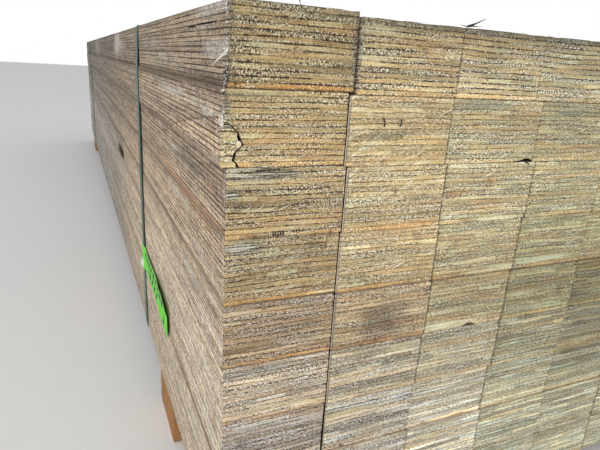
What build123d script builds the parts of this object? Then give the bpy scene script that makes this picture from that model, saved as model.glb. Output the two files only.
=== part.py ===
# A strapped pack of laminated veneer timber beams, lying flat on two softwood bearers.
# Millimetres. X runs across the pack, Y along the beams, Z up; the near end is at low Y.
from build123d import *
from math import cos, sin
import os

# Beam stock
beam_thickness = 45.0
beam_width = 78.0
beam_length = 2400.0
beam_arris = 1.3            # worn edge along each long corner

# Pack
beams_per_layer = 12
layer_count = 9
beam_gap = 1.4              # between neighbours in a layer
beam_play = 0.4             # how far one beam wanders sideways from its even place
end_play = 1.4              # how far one beam wanders lengthways
layer_end_play = 0.9        # how far a whole layer wanders lengthways
edge_column_extra = 0.15    # the outer left column was pressed a little thicker
edge_top_extra = 1.5        # and its top beam most of all
layer_shifts = [0.0, 0.0, 0.3, 0.2, 0.2, 0.1, 0.8, -1.3, 0.3]   # sideways, from the bottom layer up

# Bearers under the pack
bearer_width = 90.0
bearer_height = 45.0
bearer_inset = 247.0        # centre line of a bearer from the end of the pack
bearer_arris = 2.0

# Straps
strap_width = 19.0
strap_thickness = 0.9
strap_inset = 410.0         # centre line of a strap from the end of the pack
strap_slack = 0.1           # between the strap and what it is pulled against
weld_length = 60.0          # the overlap where the strap is closed on itself
weld_offset = 170.0         # the overlap's place on top, from the middle of the pack

# Label on the left side, lapped over the front strap
card_length = 210.0
card_height = 43.0
card_thickness = 0.4
card_past_strap = 4.0       # how far the card reaches past the strap's far edge
card_ramp = 7.0             # length over which the card climbs onto the strap
card_gap = 0.1              # between the card and what it is stuck to
card_top_drop = 282.0       # from the top of the pack to the card's upper edge

# Split corner on the left end of the second layer from the top
split_layer = layer_count - 1
split_length = 170.0
split_out = 2.6             # how far the loose wedge stands out at the end of the beam
split_top = 29.0            # height on the beam's side where the crack starts
split_depth = 10.6          # deepest point of the crack, across the beam
split_foot = 8.2            # where the crack leaves through the underside
split_taper = 0.45          # how much of the wedge's section is left at its root
split_root = 6.0            # length over which the wedge is still whole with the beam

# Smaller damage
nick_length = 80.0          # shallow saw nick in the side of the top left beam
nick_height = 2.4
nick_depth = 2.6
nick_from_end = 66.0
nick_below_top = 9.0
chip_width = 19.0           # broken-out pieces of the lowest veneer, at the near end
chip_height = 2.8
chip_depth = 22.0
chips = [(5, 2, 43.0), (8, 2, 70.0)]    # layer, column, middle from the beam's left side
gouge_layer = layer_count - 4   # deep gouge in the side of the left column
gouge_from_end = 745.0
gouge_length = 110.0
gouge_height = 15.0
gouge_depth = 9.0

column_pitch = beam_width + beam_gap
pack_width = beams_per_layer * column_pitch - beam_gap
pack_left = -pack_width / 2
near_end = -beam_length / 2


def beam_height(layer, column):
    """Thickness of one beam; the left column is thicker, so its beams still lie on each other."""
    if column > 0:
        return beam_thickness
    extra = edge_top_extra if layer == layer_count else edge_column_extra
    return beam_thickness + extra


def beam_floor(layer, column):
    """Height of one beam's underside."""
    return bearer_height + sum(beam_height(below, column) for below in range(1, layer))


def beam_left(layer, column):
    shift = layer_shifts[(layer - 1) % len(layer_shifts)]
    wander = beam_play * sin(2.4 * layer + 1.9 * column)
    return pack_left + column * column_pitch + shift + wander


def beam_near_end(layer, column):
    """Each layer and each beam was pushed home a little differently."""
    layer_wander = layer_end_play * cos(2.1 * layer)
    beam_wander = end_play * sin(0.45 * layer + 3.4 * column - 0.9)
    return near_end + layer_wander + beam_wander


def prism(outline, start, length):
    """Push an outline drawn on the XZ plane along the beams, from start."""
    return Pos(0, start, 0) * extrude(outline, amount=length, dir=(0, 1, 0))


def section(points):
    return make_face(Polyline(*[(x, 0, z) for x, z in points], close=True))


def whole_beam(layer, column):
    width, height = beam_width, beam_height(layer, column)
    centre_x = beam_left(layer, column) + width / 2
    centre_z = beam_floor(layer, column) + height / 2
    outline = chamfer(Rectangle(width, height).vertices(), beam_arris)
    outline = Plane.XZ * Pos(centre_x, centre_z) * outline
    return prism(outline, beam_near_end(layer, column), beam_length)


def split_outline(left, floor, shift, scale, over):
    """The wedge's section: a jagged crack from the side down to the underside."""
    crack = [(0, split_top), (split_depth * 0.42, split_top * 0.87), (split_depth * 0.76, split_top * 0.60),
             (split_depth, split_top * 0.46), (split_depth * 0.48, split_top * 0.20), (split_foot, 0)]
    inner = [(left + shift + x * scale, floor + z * scale) for x, z in crack]
    low, out = floor - over, left + shift - over
    corner = [(inner[-1][0], low), (out, low), (out, inner[0][1])]
    if over == 0:
        corner = [(left + shift + beam_arris, floor), (left + shift, floor + beam_arris)]
    return section(inner + corner)


def with_split_corner(beam, layer):
    """Open the crack along the corner and bend the loose wedge outwards."""
    left, floor = beam_left(layer, 0), beam_floor(layer, 0)
    start = beam_near_end(layer, 0)
    over = beam_arris
    mouth = Pos(0, start - over, 0) * split_outline(left, floor, 0, 1, over)
    root = Pos(0, start + split_length, 0) * split_outline(left, floor, 0, split_taper, over)
    wedge_end = Pos(0, start, 0) * split_outline(left, floor, -split_out, 1, 0)
    wedge_root = Pos(0, start + split_length, 0) * split_outline(left, floor, 0, split_taper, 0)
    wedge = loft([wedge_end, wedge_root], ruled=True)
    stump = extrude(wedge_root, amount=split_root, dir=(0, 1, 0))
    return beam - loft([mouth, root], ruled=True) + (wedge + stump)


def with_side_nick(beam, layer, from_end, length, height, depth, level):
    """Cut a lens-shaped slot into the left side: the segment of a flat disc."""
    radius = ((length / 2) ** 2 + depth ** 2) / (2 * depth)
    centre = (beam_left(layer, 0) - radius + depth, beam_near_end(layer, 0) + from_end, level)
    return beam - Pos(*centre) * Cylinder(radius, height)


def with_chip(beam, layer, column, from_left):
    """Break a short piece of the lowest veneer out of the near end."""
    middle_x = beam_left(layer, column) + from_left
    start, floor = beam_near_end(layer, column), beam_floor(layer, column)
    outline = section([(middle_x - chip_width / 2, floor), (middle_x + chip_width / 2, floor),
                       (middle_x + chip_width * 0.3, floor + chip_height),
                       (middle_x - chip_width * 0.2, floor + chip_height * 0.8)])
    return beam - prism(outline, start, chip_depth)


def make_beam(layer, column):
    beam = whole_beam(layer, column)
    if (layer, column) == (split_layer, 0):
        beam = with_split_corner(beam, layer)
    if (layer, column) == (layer_count, 0):
        level = beam_floor(layer, 0) + beam_height(layer, 0) - nick_below_top
        beam = with_side_nick(beam, layer, nick_from_end, nick_length, nick_height, nick_depth, level)
    if (layer, column) == (gouge_layer, 0):
        level = beam_floor(layer, 0) + gouge_height
        beam = with_side_nick(beam, layer, gouge_from_end, gouge_length, gouge_height, gouge_depth, level)
    for chip_layer, chip_column, from_left in chips:
        if (layer, column) == (chip_layer, chip_column):
            beam = with_chip(beam, layer, column, from_left)
    return beam


def make_bearer(centre_y):
    outline = chamfer(Rectangle(bearer_width, bearer_height).vertices(), bearer_arris)
    outline = Plane.YZ * Pos(centre_y, bearer_height / 2) * outline
    return Pos(pack_left, 0, 0) * extrude(outline, amount=pack_width, dir=(1, 0, 0))


def pack_outline():
    """The tight line round all the beams, seen from the end."""
    corners = []
    for layer in range(1, layer_count + 1):
        for column in (0, beams_per_layer - 1):
            left, floor = beam_left(layer, column), beam_floor(layer, column)
            right, top = left + beam_width, floor + beam_height(layer, column)
            corners += [(left, floor + beam_arris), (left + beam_arris, floor), (right - beam_arris, floor),
                        (right, floor + beam_arris), (right, top - beam_arris), (right - beam_arris, top),
                        (left + beam_arris, top), (left, top - beam_arris)]
    corners.sort()
    lower, upper = half_hull(corners), half_hull(corners[::-1])
    return lower[:-1] + upper[:-1]


def half_hull(points):
    """One side of the convex outline of sorted points."""
    chain = []
    for point in points:
        while len(chain) > 1 and turn(chain[-2], chain[-1], point) <= 0:
            chain.pop()
        chain.append(point)
    return chain


def turn(first, second, third):
    """Above zero where the way from first over second to third turns left."""
    (ax, az), (bx, bz), (cx, cz) = first, second, third
    return (bx - ax) * (cz - az) - (bz - az) * (cx - ax)


def strap_line(distance):
    """The tight line, moved outwards by a distance, with sharp folds at the corners."""
    hull = make_face(Polyline(*pack_outline(), close=True))
    return offset(hull, amount=distance, kind=Kind.INTERSECTION)


def make_strap(centre_y):
    """A band pulled tight round the beams, closed by a welded overlap on top."""
    start = centre_y - strap_width / 2
    inner = strap_line(strap_slack)
    band = prism(Plane.XZ * (strap_line(strap_slack + strap_thickness) - inner), start, strap_width)
    lap = prism(Plane.XZ * (strap_line(strap_slack + 2 * strap_thickness) - inner), start, strap_width)
    lap_box = Pos(weld_offset, centre_y, pack_top()) * Box(weld_length, 2 * strap_width, beam_thickness)
    return band + (lap & lap_box)


def pack_top():
    """Height of the top of the ordinary columns."""
    return beam_floor(layer_count, 1) + beam_thickness


def strap_side(level):
    """How far left the tight line round the beams reaches at a height."""
    outline = pack_outline()
    crossings = []
    for (ax, az), (bx, bz) in zip(outline, outline[1:] + outline[:1]):
        if min(az, bz) <= level <= max(az, bz) and az != bz:
            crossings.append(ax + (bx - ax) * (level - az) / (bz - az))
    return min(crossings)


def card_layers(lower_edge):
    """The layers that the card is stuck to."""
    upper_edge = lower_edge + card_height
    return [layer for layer in range(1, layer_count + 1)
            if beam_floor(layer, 0) < upper_edge and beam_floor(layer + 1, 0) > lower_edge]


def make_card():
    """A thin card along the left side that climbs over the strap."""
    lower_edge = pack_top() - card_top_drop - card_height
    far = near_end + strap_inset + strap_width / 2 + card_past_strap
    near = far - card_length
    climb_end = far - card_past_strap - strap_width - card_gap
    face = min(beam_left(layer, 0) for layer in card_layers(lower_edge)) - card_gap
    strap_back = min(strap_side(lower_edge), strap_side(lower_edge + card_height))
    raised = strap_back - strap_slack - strap_thickness - card_gap
    route = [(face, near), (face, climb_end - card_ramp), (raised, climb_end), (raised, far)]
    back = [(x - card_thickness, y) for x, y in route]
    outline = make_face(Polyline(*(route + back[::-1]), close=True))
    return Pos(0, 0, lower_edge) * extrude(outline, amount=card_height, dir=(0, 0, 1))


pieces = {}
for layer in range(1, layer_count + 1):
    pieces[f"beam_layer_{layer}"] = [make_beam(layer, column) for column in range(beams_per_layer)]
for name, end in (("front", near_end), ("rear", -near_end)):
    inward = 1 if end < 0 else -1
    pieces[f"{name}_bearer"] = [make_bearer(end + inward * bearer_inset)]
    pieces[f"{name}_strap"] = [make_strap(end + inward * strap_inset)]
pieces["label_card"] = [make_card()]

everything = Compound(children=[solid for group in pieces.values() for part in group for solid in part.solids()])
middle = everything.bounding_box().center()

os.makedirs("parts", exist_ok=True)
for name, group in pieces.items():
    solids = [Pos(-middle.X, -middle.Y, 0) * solid for part in group for solid in part.solids()]
    shape = solids[0] if len(solids) == 1 else Compound(children=solids)
    export_step(shape, f"parts/{name}.step")
    print(name, len(solids))
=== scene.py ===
import math

import bpy
import numpy as np
from mathutils import Matrix, Vector


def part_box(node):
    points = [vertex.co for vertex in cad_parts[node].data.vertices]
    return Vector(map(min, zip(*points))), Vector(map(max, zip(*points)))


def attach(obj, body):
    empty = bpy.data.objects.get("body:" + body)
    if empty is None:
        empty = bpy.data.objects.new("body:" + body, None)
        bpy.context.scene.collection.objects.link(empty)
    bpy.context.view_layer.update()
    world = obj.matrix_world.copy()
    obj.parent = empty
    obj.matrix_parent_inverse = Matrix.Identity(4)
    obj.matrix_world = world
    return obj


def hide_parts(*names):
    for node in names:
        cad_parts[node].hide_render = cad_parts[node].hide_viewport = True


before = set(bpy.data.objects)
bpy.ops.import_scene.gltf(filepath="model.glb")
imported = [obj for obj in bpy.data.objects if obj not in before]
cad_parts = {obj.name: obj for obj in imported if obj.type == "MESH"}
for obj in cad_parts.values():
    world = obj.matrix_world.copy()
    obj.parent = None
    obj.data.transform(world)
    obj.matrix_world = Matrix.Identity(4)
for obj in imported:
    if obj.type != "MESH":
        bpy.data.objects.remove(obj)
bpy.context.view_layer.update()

MM = 0.001
PER_METRE = 1000.0
LAYERS = 9
SPLIT_LAYER = LAYERS - 1    # its left beam has the split corner
VENEERS = 13
VENEER = 45.0 / VENEERS     # thickness of a veneer in mm
TINY = 0.01                 # in mm, veneers or shares: a point nearer than this lies on the surface

# Camera, placed from the near upper left corner of the pack, in metres and degrees
CAMERA_OFFSET = Vector((-0.0784, -0.2812, -0.028))
CAMERA_HEADING = 24.42      # to the right of the beams' direction
CAMERA_PITCH = -17.73
CAMERA_ROLL = 3.52
CAMERA_LENS = 30.46
CAMERA_CLIP = 0.01

ORDINARY_TOP = 0.45         # top of the ordinary columns, bearers included
BEARER_INSET = 0.247        # from the near ends to the middle of the front bearer

WORLD_LIGHT = 0.6
FLOOR_HALF = 14.0
# Lamps: name, place, aim, size in metres, power
LAMPS = [("key", (-2.2, -3.4, 2.6), (0, -0.6, 0.3), 2.2, 66),
         ("fill", (2.8, -2.2, 2.4), (0, 0, 0.3), 3.0, 18)]


# Smooth random numbers for shapes

def lattice(x, y, seed):
    """A fixed random value from 0 to 1 for each pair of whole numbers."""
    n = x.astype(np.int64) * 374761393 + y.astype(np.int64) * 668265263 + int(seed) * 974634777
    n = n & 0x7FFFFFFF
    n = ((n ^ (n >> 13)) * 1274126177) & 0x7FFFFFFF
    n = n ^ (n >> 16)
    return (n & 0xFFFF) / 65535.0


def wave(x, y, seed):
    """Smooth noise from -1 to 1 that changes over about one unit of x and y."""
    x, y = np.broadcast_arrays(np.asarray(x, float), np.asarray(y, float))
    cell_x, cell_y = np.floor(x), np.floor(y)
    fx, fy = x - cell_x, y - cell_y
    fx, fy = fx * fx * (3 - 2 * fx), fy * fy * (3 - 2 * fy)
    low = lattice(cell_x, cell_y, seed) * (1 - fx) + lattice(cell_x + 1, cell_y, seed) * fx
    high = lattice(cell_x, cell_y + 1, seed) * (1 - fx) + lattice(cell_x + 1, cell_y + 1, seed) * fx
    return 2 * (low * (1 - fy) + high * fy) - 1


def over(value, start):
    """How far a noise value is above a threshold, from 0 to 1."""
    return np.clip((value - start) / (1 - start), 0, 1)


def by_veneer(veneer, seed):
    """A fixed random value from 0 to 1 for each veneer."""
    return lattice(veneer, veneer * 0, seed)


def ease(share):
    """A share from 0 to 1 with a soft start and end."""
    share = min(max(share, 0), 1)
    return share * share * (3 - 2 * share)


# Mesh helpers

def new_object(name, points, faces, materials=(), face_materials=None, smooth=False):
    """A mesh object, if needed with the number of the material of every face."""
    mesh = bpy.data.meshes.new(name)
    mesh.from_pydata([tuple(p) for p in points], [], [tuple(f) for f in faces])
    for material in materials:
        mesh.materials.append(material)
    if face_materials is not None:
        mesh.polygons.foreach_set("material_index", np.asarray(face_materials, np.int32))
    mesh.polygons.foreach_set("use_smooth", np.full(len(mesh.polygons), smooth))
    obj = bpy.data.objects.new(name, mesh)
    bpy.context.scene.collection.objects.link(obj)
    return obj


def set_attribute(obj, name, values):
    """Stores one or three numbers for every point."""
    values = np.asarray(values, np.float32)
    kind, field = ("FLOAT_VECTOR", "vector") if values.ndim == 2 else ("FLOAT", "value")
    obj.data.attributes.new(name, kind, "POINT").data.foreach_set(field, values.ravel())


def add_piece(obj, node):
    """Attaches an object to the root body as the look of a node, and hides the node's part."""
    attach(obj, "root")
    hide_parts(node)


def placed(corner, x, y, z):
    """Points in metres from a corner and distances from it, all in mm."""
    return np.column_stack([corner[0] + x, corner[1] + y, corner[2] + z]) * MM


def inward(at_low, at_high, depth_low, depth_high=None):
    """Moves the points of two opposite sides towards each other."""
    depth_high = depth_low if depth_high is None else depth_high
    return np.where(at_low, depth_low, 0) - np.where(at_high, depth_high, 0)


# Material helpers

class Value:
    """An output in a node tree, which takes part in sums like a number."""

    def __init__(self, nodes, socket):
        self.nodes, self.socket = nodes, socket

    def __add__(self, other):
        return self.nodes.math("ADD", self, other)

    def __sub__(self, other):
        return self.nodes.math("SUBTRACT", self, other)

    def __rsub__(self, other):
        return self.nodes.math("SUBTRACT", other, self)

    def __mul__(self, other):
        return self.nodes.math("MULTIPLY", self, other)

    def __truediv__(self, other):
        return self * (1 / other)

    def __abs__(self):
        return self.nodes.math("ABSOLUTE", self)

    def __lt__(self, other):
        return self.nodes.math("LESS_THAN", self, other)

    def __gt__(self, other):
        return self.nodes.math("GREATER_THAN", self, other)

    __radd__, __rmul__ = __add__, __mul__


class Nodes:
    """Short calls for building one material's node tree. The colour so far is kept in color."""

    def __init__(self, name):
        self.material = bpy.data.materials.new(name)
        self.material.use_nodes = True
        self.tree = self.material.node_tree
        self.shader = self.tree.nodes["Principled BSDF"]
        self.color = None

    def put(self, target, value):
        """Links a value to a socket, or sets the socket to a constant."""
        if isinstance(value, Value):
            self.tree.links.new(value.socket, target)
        elif value is not None:
            target.default_value = value

    def outputs(self, kind, inputs=(), **settings):
        """All outputs of a new node."""
        node = self.tree.nodes.new(kind)
        for key, value in settings.items():
            setattr(node, key, value)
        for key, value in dict(inputs).items():
            self.put(node.inputs[key], value)
        return {output.name: Value(self, output) for output in node.outputs if output.enabled}

    def node(self, kind, inputs=(), **settings):
        """The first output of a new node that is in use."""
        return next(iter(self.outputs(kind, inputs, **settings).values()))

    def math(self, operation, *values, clamp=False):
        return self.node("ShaderNodeMath", enumerate(values), operation=operation, use_clamp=clamp)

    def attribute(self, name):
        """A number that is stored for every point."""
        return self.outputs("ShaderNodeAttribute", attribute_name=name)["Fac"]

    def vector(self, name):
        """Three numbers that are stored for every point."""
        return self.outputs("ShaderNodeAttribute", attribute_name=name)["Vector"]

    def parts(self, name):
        return self.split(self.vector(name))

    def place(self):
        """Where the point was on its piece, in mm: across, along and up."""
        return self.split(self.scaled(self.vector("place"), (PER_METRE,) * 3))

    def object_place(self, by):
        """Where the point is on its object, times the given number."""
        return self.split(self.scaled(self.outputs("ShaderNodeTexCoord")["Object"], (by,) * 3))

    def scaled(self, vector, by):
        return self.node("ShaderNodeVectorMath", {0: vector, 1: by}, operation="MULTIPLY")

    def combine(self, x, y, z):
        return self.node("ShaderNodeCombineXYZ", {0: x, 1: y, 2: z})

    def split(self, vector):
        return tuple(self.outputs("ShaderNodeSeparateXYZ", {0: vector}).values())

    def noise(self, x, y, z, detail=2.0, rough=0.5):
        """Smooth noise that changes over about one unit of x, y and z."""
        inputs = {"Vector": self.combine(x, y, z), "Scale": 1.0, "Detail": detail, "Roughness": rough}
        return self.node("ShaderNodeTexNoise", inputs)

    def random(self, x, y, z=0.0):
        """Three random numbers for each whole x, y and z."""
        inputs = {"Vector": self.combine(x, y, z)}
        return self.split(self.outputs("ShaderNodeTexWhiteNoise", inputs, noise_dimensions="3D")["Color"])

    def band(self, value, low, high, out_low=0.0, out_high=1.0):
        """Smoothly maps a value from low to high onto the two given results."""
        inputs = {0: value, 1: low, 2: high, 3: out_low, 4: out_high}
        return self.node("ShaderNodeMapRange", inputs, interpolation_type="SMOOTHSTEP")

    def mix(self, factor, a, b, blend="MIX"):
        a, b = ((*value, 1.0) if isinstance(value, tuple) else value for value in (a, b))
        return self.node("ShaderNodeMix", {0: factor, 6: a, 7: b}, data_type="RGBA", blend_type=blend,
                         clamp_factor=True)

    def tinted(self, color, rgb):
        """A colour times a colour."""
        return self.mix(1.0, color, rgb, "MULTIPLY")

    def shade(self, color, factor):
        """A colour times a number."""
        return self.tinted(color, self.combine(factor, factor, factor))

    def cover(self, factor, other):
        """Covers the colour so far with another."""
        self.color = self.mix(factor, self.color, other)

    def tint(self, factor, rgb):
        """Multiplies the colour so far by another, as far as the factor says."""
        self.cover(factor, self.tinted(self.color, rgb))

    def light(self, value, *limits):
        """Multiplies the colour so far by a number, or by the band of a value."""
        self.color = self.shade(self.color, self.band(value, *limits) if limits else value)

    def finish(self, roughness, relief=None, depth=0.0, strength=0.8, specular=0.5):
        """Sets the colour so far, the roughness and a relief of the given depth on the shader."""
        normal = None
        if relief is not None:
            normal = self.node("ShaderNodeBump",
                               {"Height": relief, "Distance": depth, "Strength": strength})
        values = {"Base Color": self.color, "Roughness": roughness, "Normal": normal,
                  "Specular IOR Level": specular}
        for key, value in values.items():
            self.put(self.shader.inputs[key], value)
        return self.material


# Colours of the timber, linear
LIGHT = (0.66, 0.53, 0.29)
GOLD = (0.58, 0.4, 0.155)
LATEWOOD = (0.36, 0.245, 0.115)
ORANGE = (0.6, 0.335, 0.125)
MOULD = (0.245, 0.235, 0.15)
GLUE = (0.08, 0.05, 0.03)
# Dark colour of dirt, and of painted shade on joint sides, in slots, in the crack and under chips
DIRT_AND_SHADE = (0.085, 0.06, 0.038)
FIBRE = (0.92, 0.85, 0.63)

# Lengths in mm over which veneers change
PIECE_LENGTH = 52.0         # pieces of one tone on the ends
FRESH_LENGTH = 21.0         # fresh spots on the ends
SHEET_LENGTH = 760.0        # sheets between butt joints on the long edges
KNOT_CELL = (55.0, 260.0)   # part of a face in which a knot can lie, across and along


def veneer_fields(t):
    """What sawn surfaces read: place in mm, height in veneers, beam, seed, numbers of the veneer and of
    the nearest glue line, and distance to that line in mm."""
    height = t.attribute("veneer")
    beam = t.math("ROUND", t.attribute("seed"))
    number = t.math("FLOOR", height)
    to_line = (0.5 - abs(height - number - 0.5)) * VENEER
    return t.place(), height, beam, beam * 0.731, number, t.math("ROUND", height), to_line


def end_material():
    """Sawn ends: edge-on veneers with growth rings, torn fibres, glue lines and weather."""
    t = Nodes("veneer_ends")
    (u, _, v), height, beam, seed, number, line_number, to_line = veneer_fields(t)
    own = t.random(number, beam)
    veneer_own = t.random(number, beam, 5.0)
    offset = number * 13.7
    marks = t.parts("marks")
    weathered, bright, warm = t.parts("tone")
    drawn = t.band(warm, 0.9, 0.1, 0.3, 1.0)
    pale_row = t.band(warm, 0.6, 0.12)
    harsh, orange_foot, _ = t.parts("finish")

    # Growth rings run almost along each veneer, at a slant of its own
    ring_v = v + u * (own[0] * 0.14 - 0.07)
    rings = t.noise(u * 0.03, ring_v * 0.6, offset, 3.0, 0.6)
    t.color = t.mix(t.band(rings, 0.34, 0.5), LIGHT, GOLD)
    t.cover(t.band(rings, 0.5, 0.66) * t.band(own[1], 0.1, 0.9, 0.3, 0.9), LATEWOOD)

    # Lengths of veneer differ in tone, some meet in a sharp joint
    piece = t.random(t.math("FLOOR", u / PIECE_LENGTH + own[2] * 9.0), beam * 91.0 + number, 6.0)
    t.light(piece[0], 0.0, 1.0, 0.76, 1.21)
    spread = t.band(warm, 0.9, 0.1, 0.1, 0.5)
    t.light((veneer_own[0] - 0.5) * spread * 2.0 + 1.0)
    t.tint(drawn * t.band(veneer_own[1], 0.55, 1.0), (1.06, 0.93, 0.78))
    warm_zone = t.band(t.noise(u * 0.022, v * 0.05, offset), 0.36, 0.56)
    warm_zone = warm_zone * t.band(warm, 0.15, 0.55, 0.2, 0.6)
    t.cover(t.band(piece[1], 0.45, 0.8) * warm_zone, ORANGE)
    cell = t.random(t.math("FLOOR", u / FRESH_LENGTH + own[1] * 9.0), beam * 91.0 + number, 2.0)
    fresh = (cell[0] > 0.965) * t.band(to_line, 0.2, 0.5)
    t.cover(fresh * 0.65, (0.86, 0.735, 0.36))

    # Fine dark and light lines along the veneers
    lines = t.noise(u * 0.04, v * 0.95, offset, 4.0, 0.75)
    t.light(lines, 0.32, 0.68, 1.32, 0.7)
    streaks = t.noise(u * 0.01, v * 0.62, seed, 2.0, 0.6)
    t.cover(t.band(streaks, 0.58, 0.68) * drawn, (0.82, 0.705, 0.41))
    t.cover(t.band(streaks, 0.42, 0.32) * drawn * 0.6, (0.3, 0.215, 0.13))

    # The lower rows are less yellow
    t.tint(pale_row, (0.97, 1.09, 1.4))
    t.tint(t.band(warm, 0.16, 0.06), (0.98, 1.01, 1.1))

    # Torn fibres: light and dark dashes, and beads in rows where the saw tore a veneer
    zone = t.band(t.noise(u * 0.018, v * 0.34, seed, 3.0, 0.6), 0.38, 0.6, 0.25, 1.0)
    zone = zone * t.band(to_line, 0.45, 1.35, 1.0, 0.84) * harsh
    finer = t.band(harsh, 0.8, 1.2, 1.05, 1.55)
    dots = t.noise(u * finer * 0.46, v * finer, 2.0, 2.0, 0.7)
    holes = t.noise(u * finer * 0.4, v * finer * 1.05, 8.0, 2.0, 0.7)
    beads = 0.5 + (t.noise(u, v * 0.62, 5.0, 1.0, 0.6) - 0.5) * t.band(zone, 0.5, 1.0)
    t.light(t.band(dots, 0.36, 0.64, -1.0, 1.0) * zone * 0.6 + 1.0)
    t.cover(t.band(dots, 0.538, 0.59) * zone, FIBRE)
    t.cover(t.band(holes, 0.462, 0.41) * zone, DIRT_AND_SHADE)
    t.cover(t.band(beads, 0.56, 0.61), FIBRE)
    t.cover(t.band(beads, 0.44, 0.39), DIRT_AND_SHADE)

    # Beams further right and lower down are calmer
    t.cover(t.band(harsh, 1.0, 0.45, 0.0, 0.18),
            t.shade((0.585, 0.455, 0.25), t.band(piece[0], 0.0, 1.0, 0.85, 1.15)))

    # Slanting light hairs in a few places
    hair_zone = t.band(t.noise(u * 0.02, v * 0.05, 7.7), 0.5, 0.58) * t.band(warm, 0.55, 0.85)
    hair_zone = hair_zone * t.band(harsh, 1.12, 1.0, 0.0, 0.62)
    hairs = t.noise((u * 0.9 + v * 0.42) * 0.075, (u * 0.42 - v * 0.9) * 0.7, seed, 1.0)
    t.cover(t.band(hairs, 0.58, 0.66) * hair_zone, (0.88, 0.78, 0.5))

    # Glue lines: thin, of uneven strength, broken into dashes
    line_noise = t.noise(u * 0.035, line_number * 7.3, seed, 3.0, 0.6)
    strength = t.band(line_noise, 0.34, 0.56, 0.35, 1.0)
    dashes = t.noise(u * 0.3, line_number * 3.1, seed, 4.0, 0.75)
    width = strength * t.band(dashes, 0.38, 0.6, 0.06, 0.56) * t.band(harsh, 0.98, 1.25, 1.0, 1.5)
    line = t.band(to_line, width, width * 0.5) * strength * t.band(harsh, 0.85, 1.05, 0.66, 1.0)
    t.cover(line, GLUE)

    # The lowest veneer is orange, the highest one weathered
    lowest = t.band(height, 1.12, 0.72)
    lowest = lowest * t.band(t.noise(u * 0.03, 0.0, seed, 3.0, 0.6), 0.38, 0.56, 0.1, 1.0)
    t.cover(lowest * orange_foot, t.mix(0.28, t.tinted(t.color, (1.28, 0.92, 0.56)), (0.76, 0.46, 0.19)))
    upper = t.band(height, 11.9, 12.3) * t.band(t.noise(u * 0.02, 0.0, seed + 9.0), 0.48, 0.62)
    mould = t.shade(MOULD, t.band(dots, 0.4, 0.6, 0.45, 1.55))
    t.cover(upper * 0.4, mould)

    # Grey-green weather follows single veneers and broad clouds
    streak = t.noise(u * 0.016, height * 0.62, seed, 3.0, 0.6)
    cloud = t.noise(u * 0.026, v * 0.05, seed, 3.0, 0.6)
    weather = t.band(streak, 0.47, 0.64) * t.band(dots, 0.28, 0.62, 1.0, 0.45)
    weather = t.math("MAXIMUM", weather, t.band(cloud, 0.52, 0.72)) * weathered
    weather = t.math("ADD", weather, marks[1], clamp=True)
    t.cover(weather, t.mix(0.62, t.color, mould))
    worn = (dots - 0.5) * 0.35 + t.noise(u * 0.035, v * 1.25, offset, 2.0, 0.65)
    heavy = t.band(marks[1], 0.45, 0.85)
    t.cover(heavy * 0.25, (0.2, 0.175, 0.115))
    t.cover(heavy * t.band(worn, 0.525, 0.575, 0.0, 0.9), (0.78, 0.72, 0.53))
    t.cover(heavy * t.band(worn, 0.475, 0.43, 0.0, 0.95), (0.03, 0.026, 0.02))
    spots = t.band(t.noise(u * 0.17, v * 0.27, 1.3, 3.0, 0.75), 0.635, 0.7) * 0.75
    # Dirt spots and dark marks; the dark marks on joint sides and in hollows are painted shade
    dirt_and_shade_share = t.math("ADD", spots, marks[0] * t.band(dots, 0.3, 0.6, 1.1, 0.7), clamp=True)
    t.cover(dirt_and_shade_share, DIRT_AND_SHADE)
    pale = t.shade((0.84, 0.75, 0.45), t.band(lines, 0.34, 0.66, 1.14, 0.8))
    pale = t.mix(pale_row, pale, t.tinted(pale, (1.0, 0.93, 0.72)))
    pale_share = t.band(dots, 0.3, 0.6, 0.4, 0.9) * (1.0 - line * 0.8)
    t.cover(marks[2] * pale_share, pale)
    rusty = t.attribute("rusty") * t.band(lines, 0.34, 0.66, 1.0, 0.5)
    t.cover(rusty, t.mix(0.4, t.tinted(t.color, (1.0, 0.68, 0.4)), (0.42, 0.235, 0.095)))
    t.light(bright)
    t.tint(1.0, t.vector("tint"))
    # Dark marks from 1 to 2 are painted shade, darkened almost to black
    t.light(marks[0], 1.0, 2.0, 1.0, 0.1)

    relief = dots - lines * 0.4 - line * 0.7
    return t.finish(t.band(dots, 0.3, 0.7, 0.92, 0.72), relief, 0.0008, specular=0.25)


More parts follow.
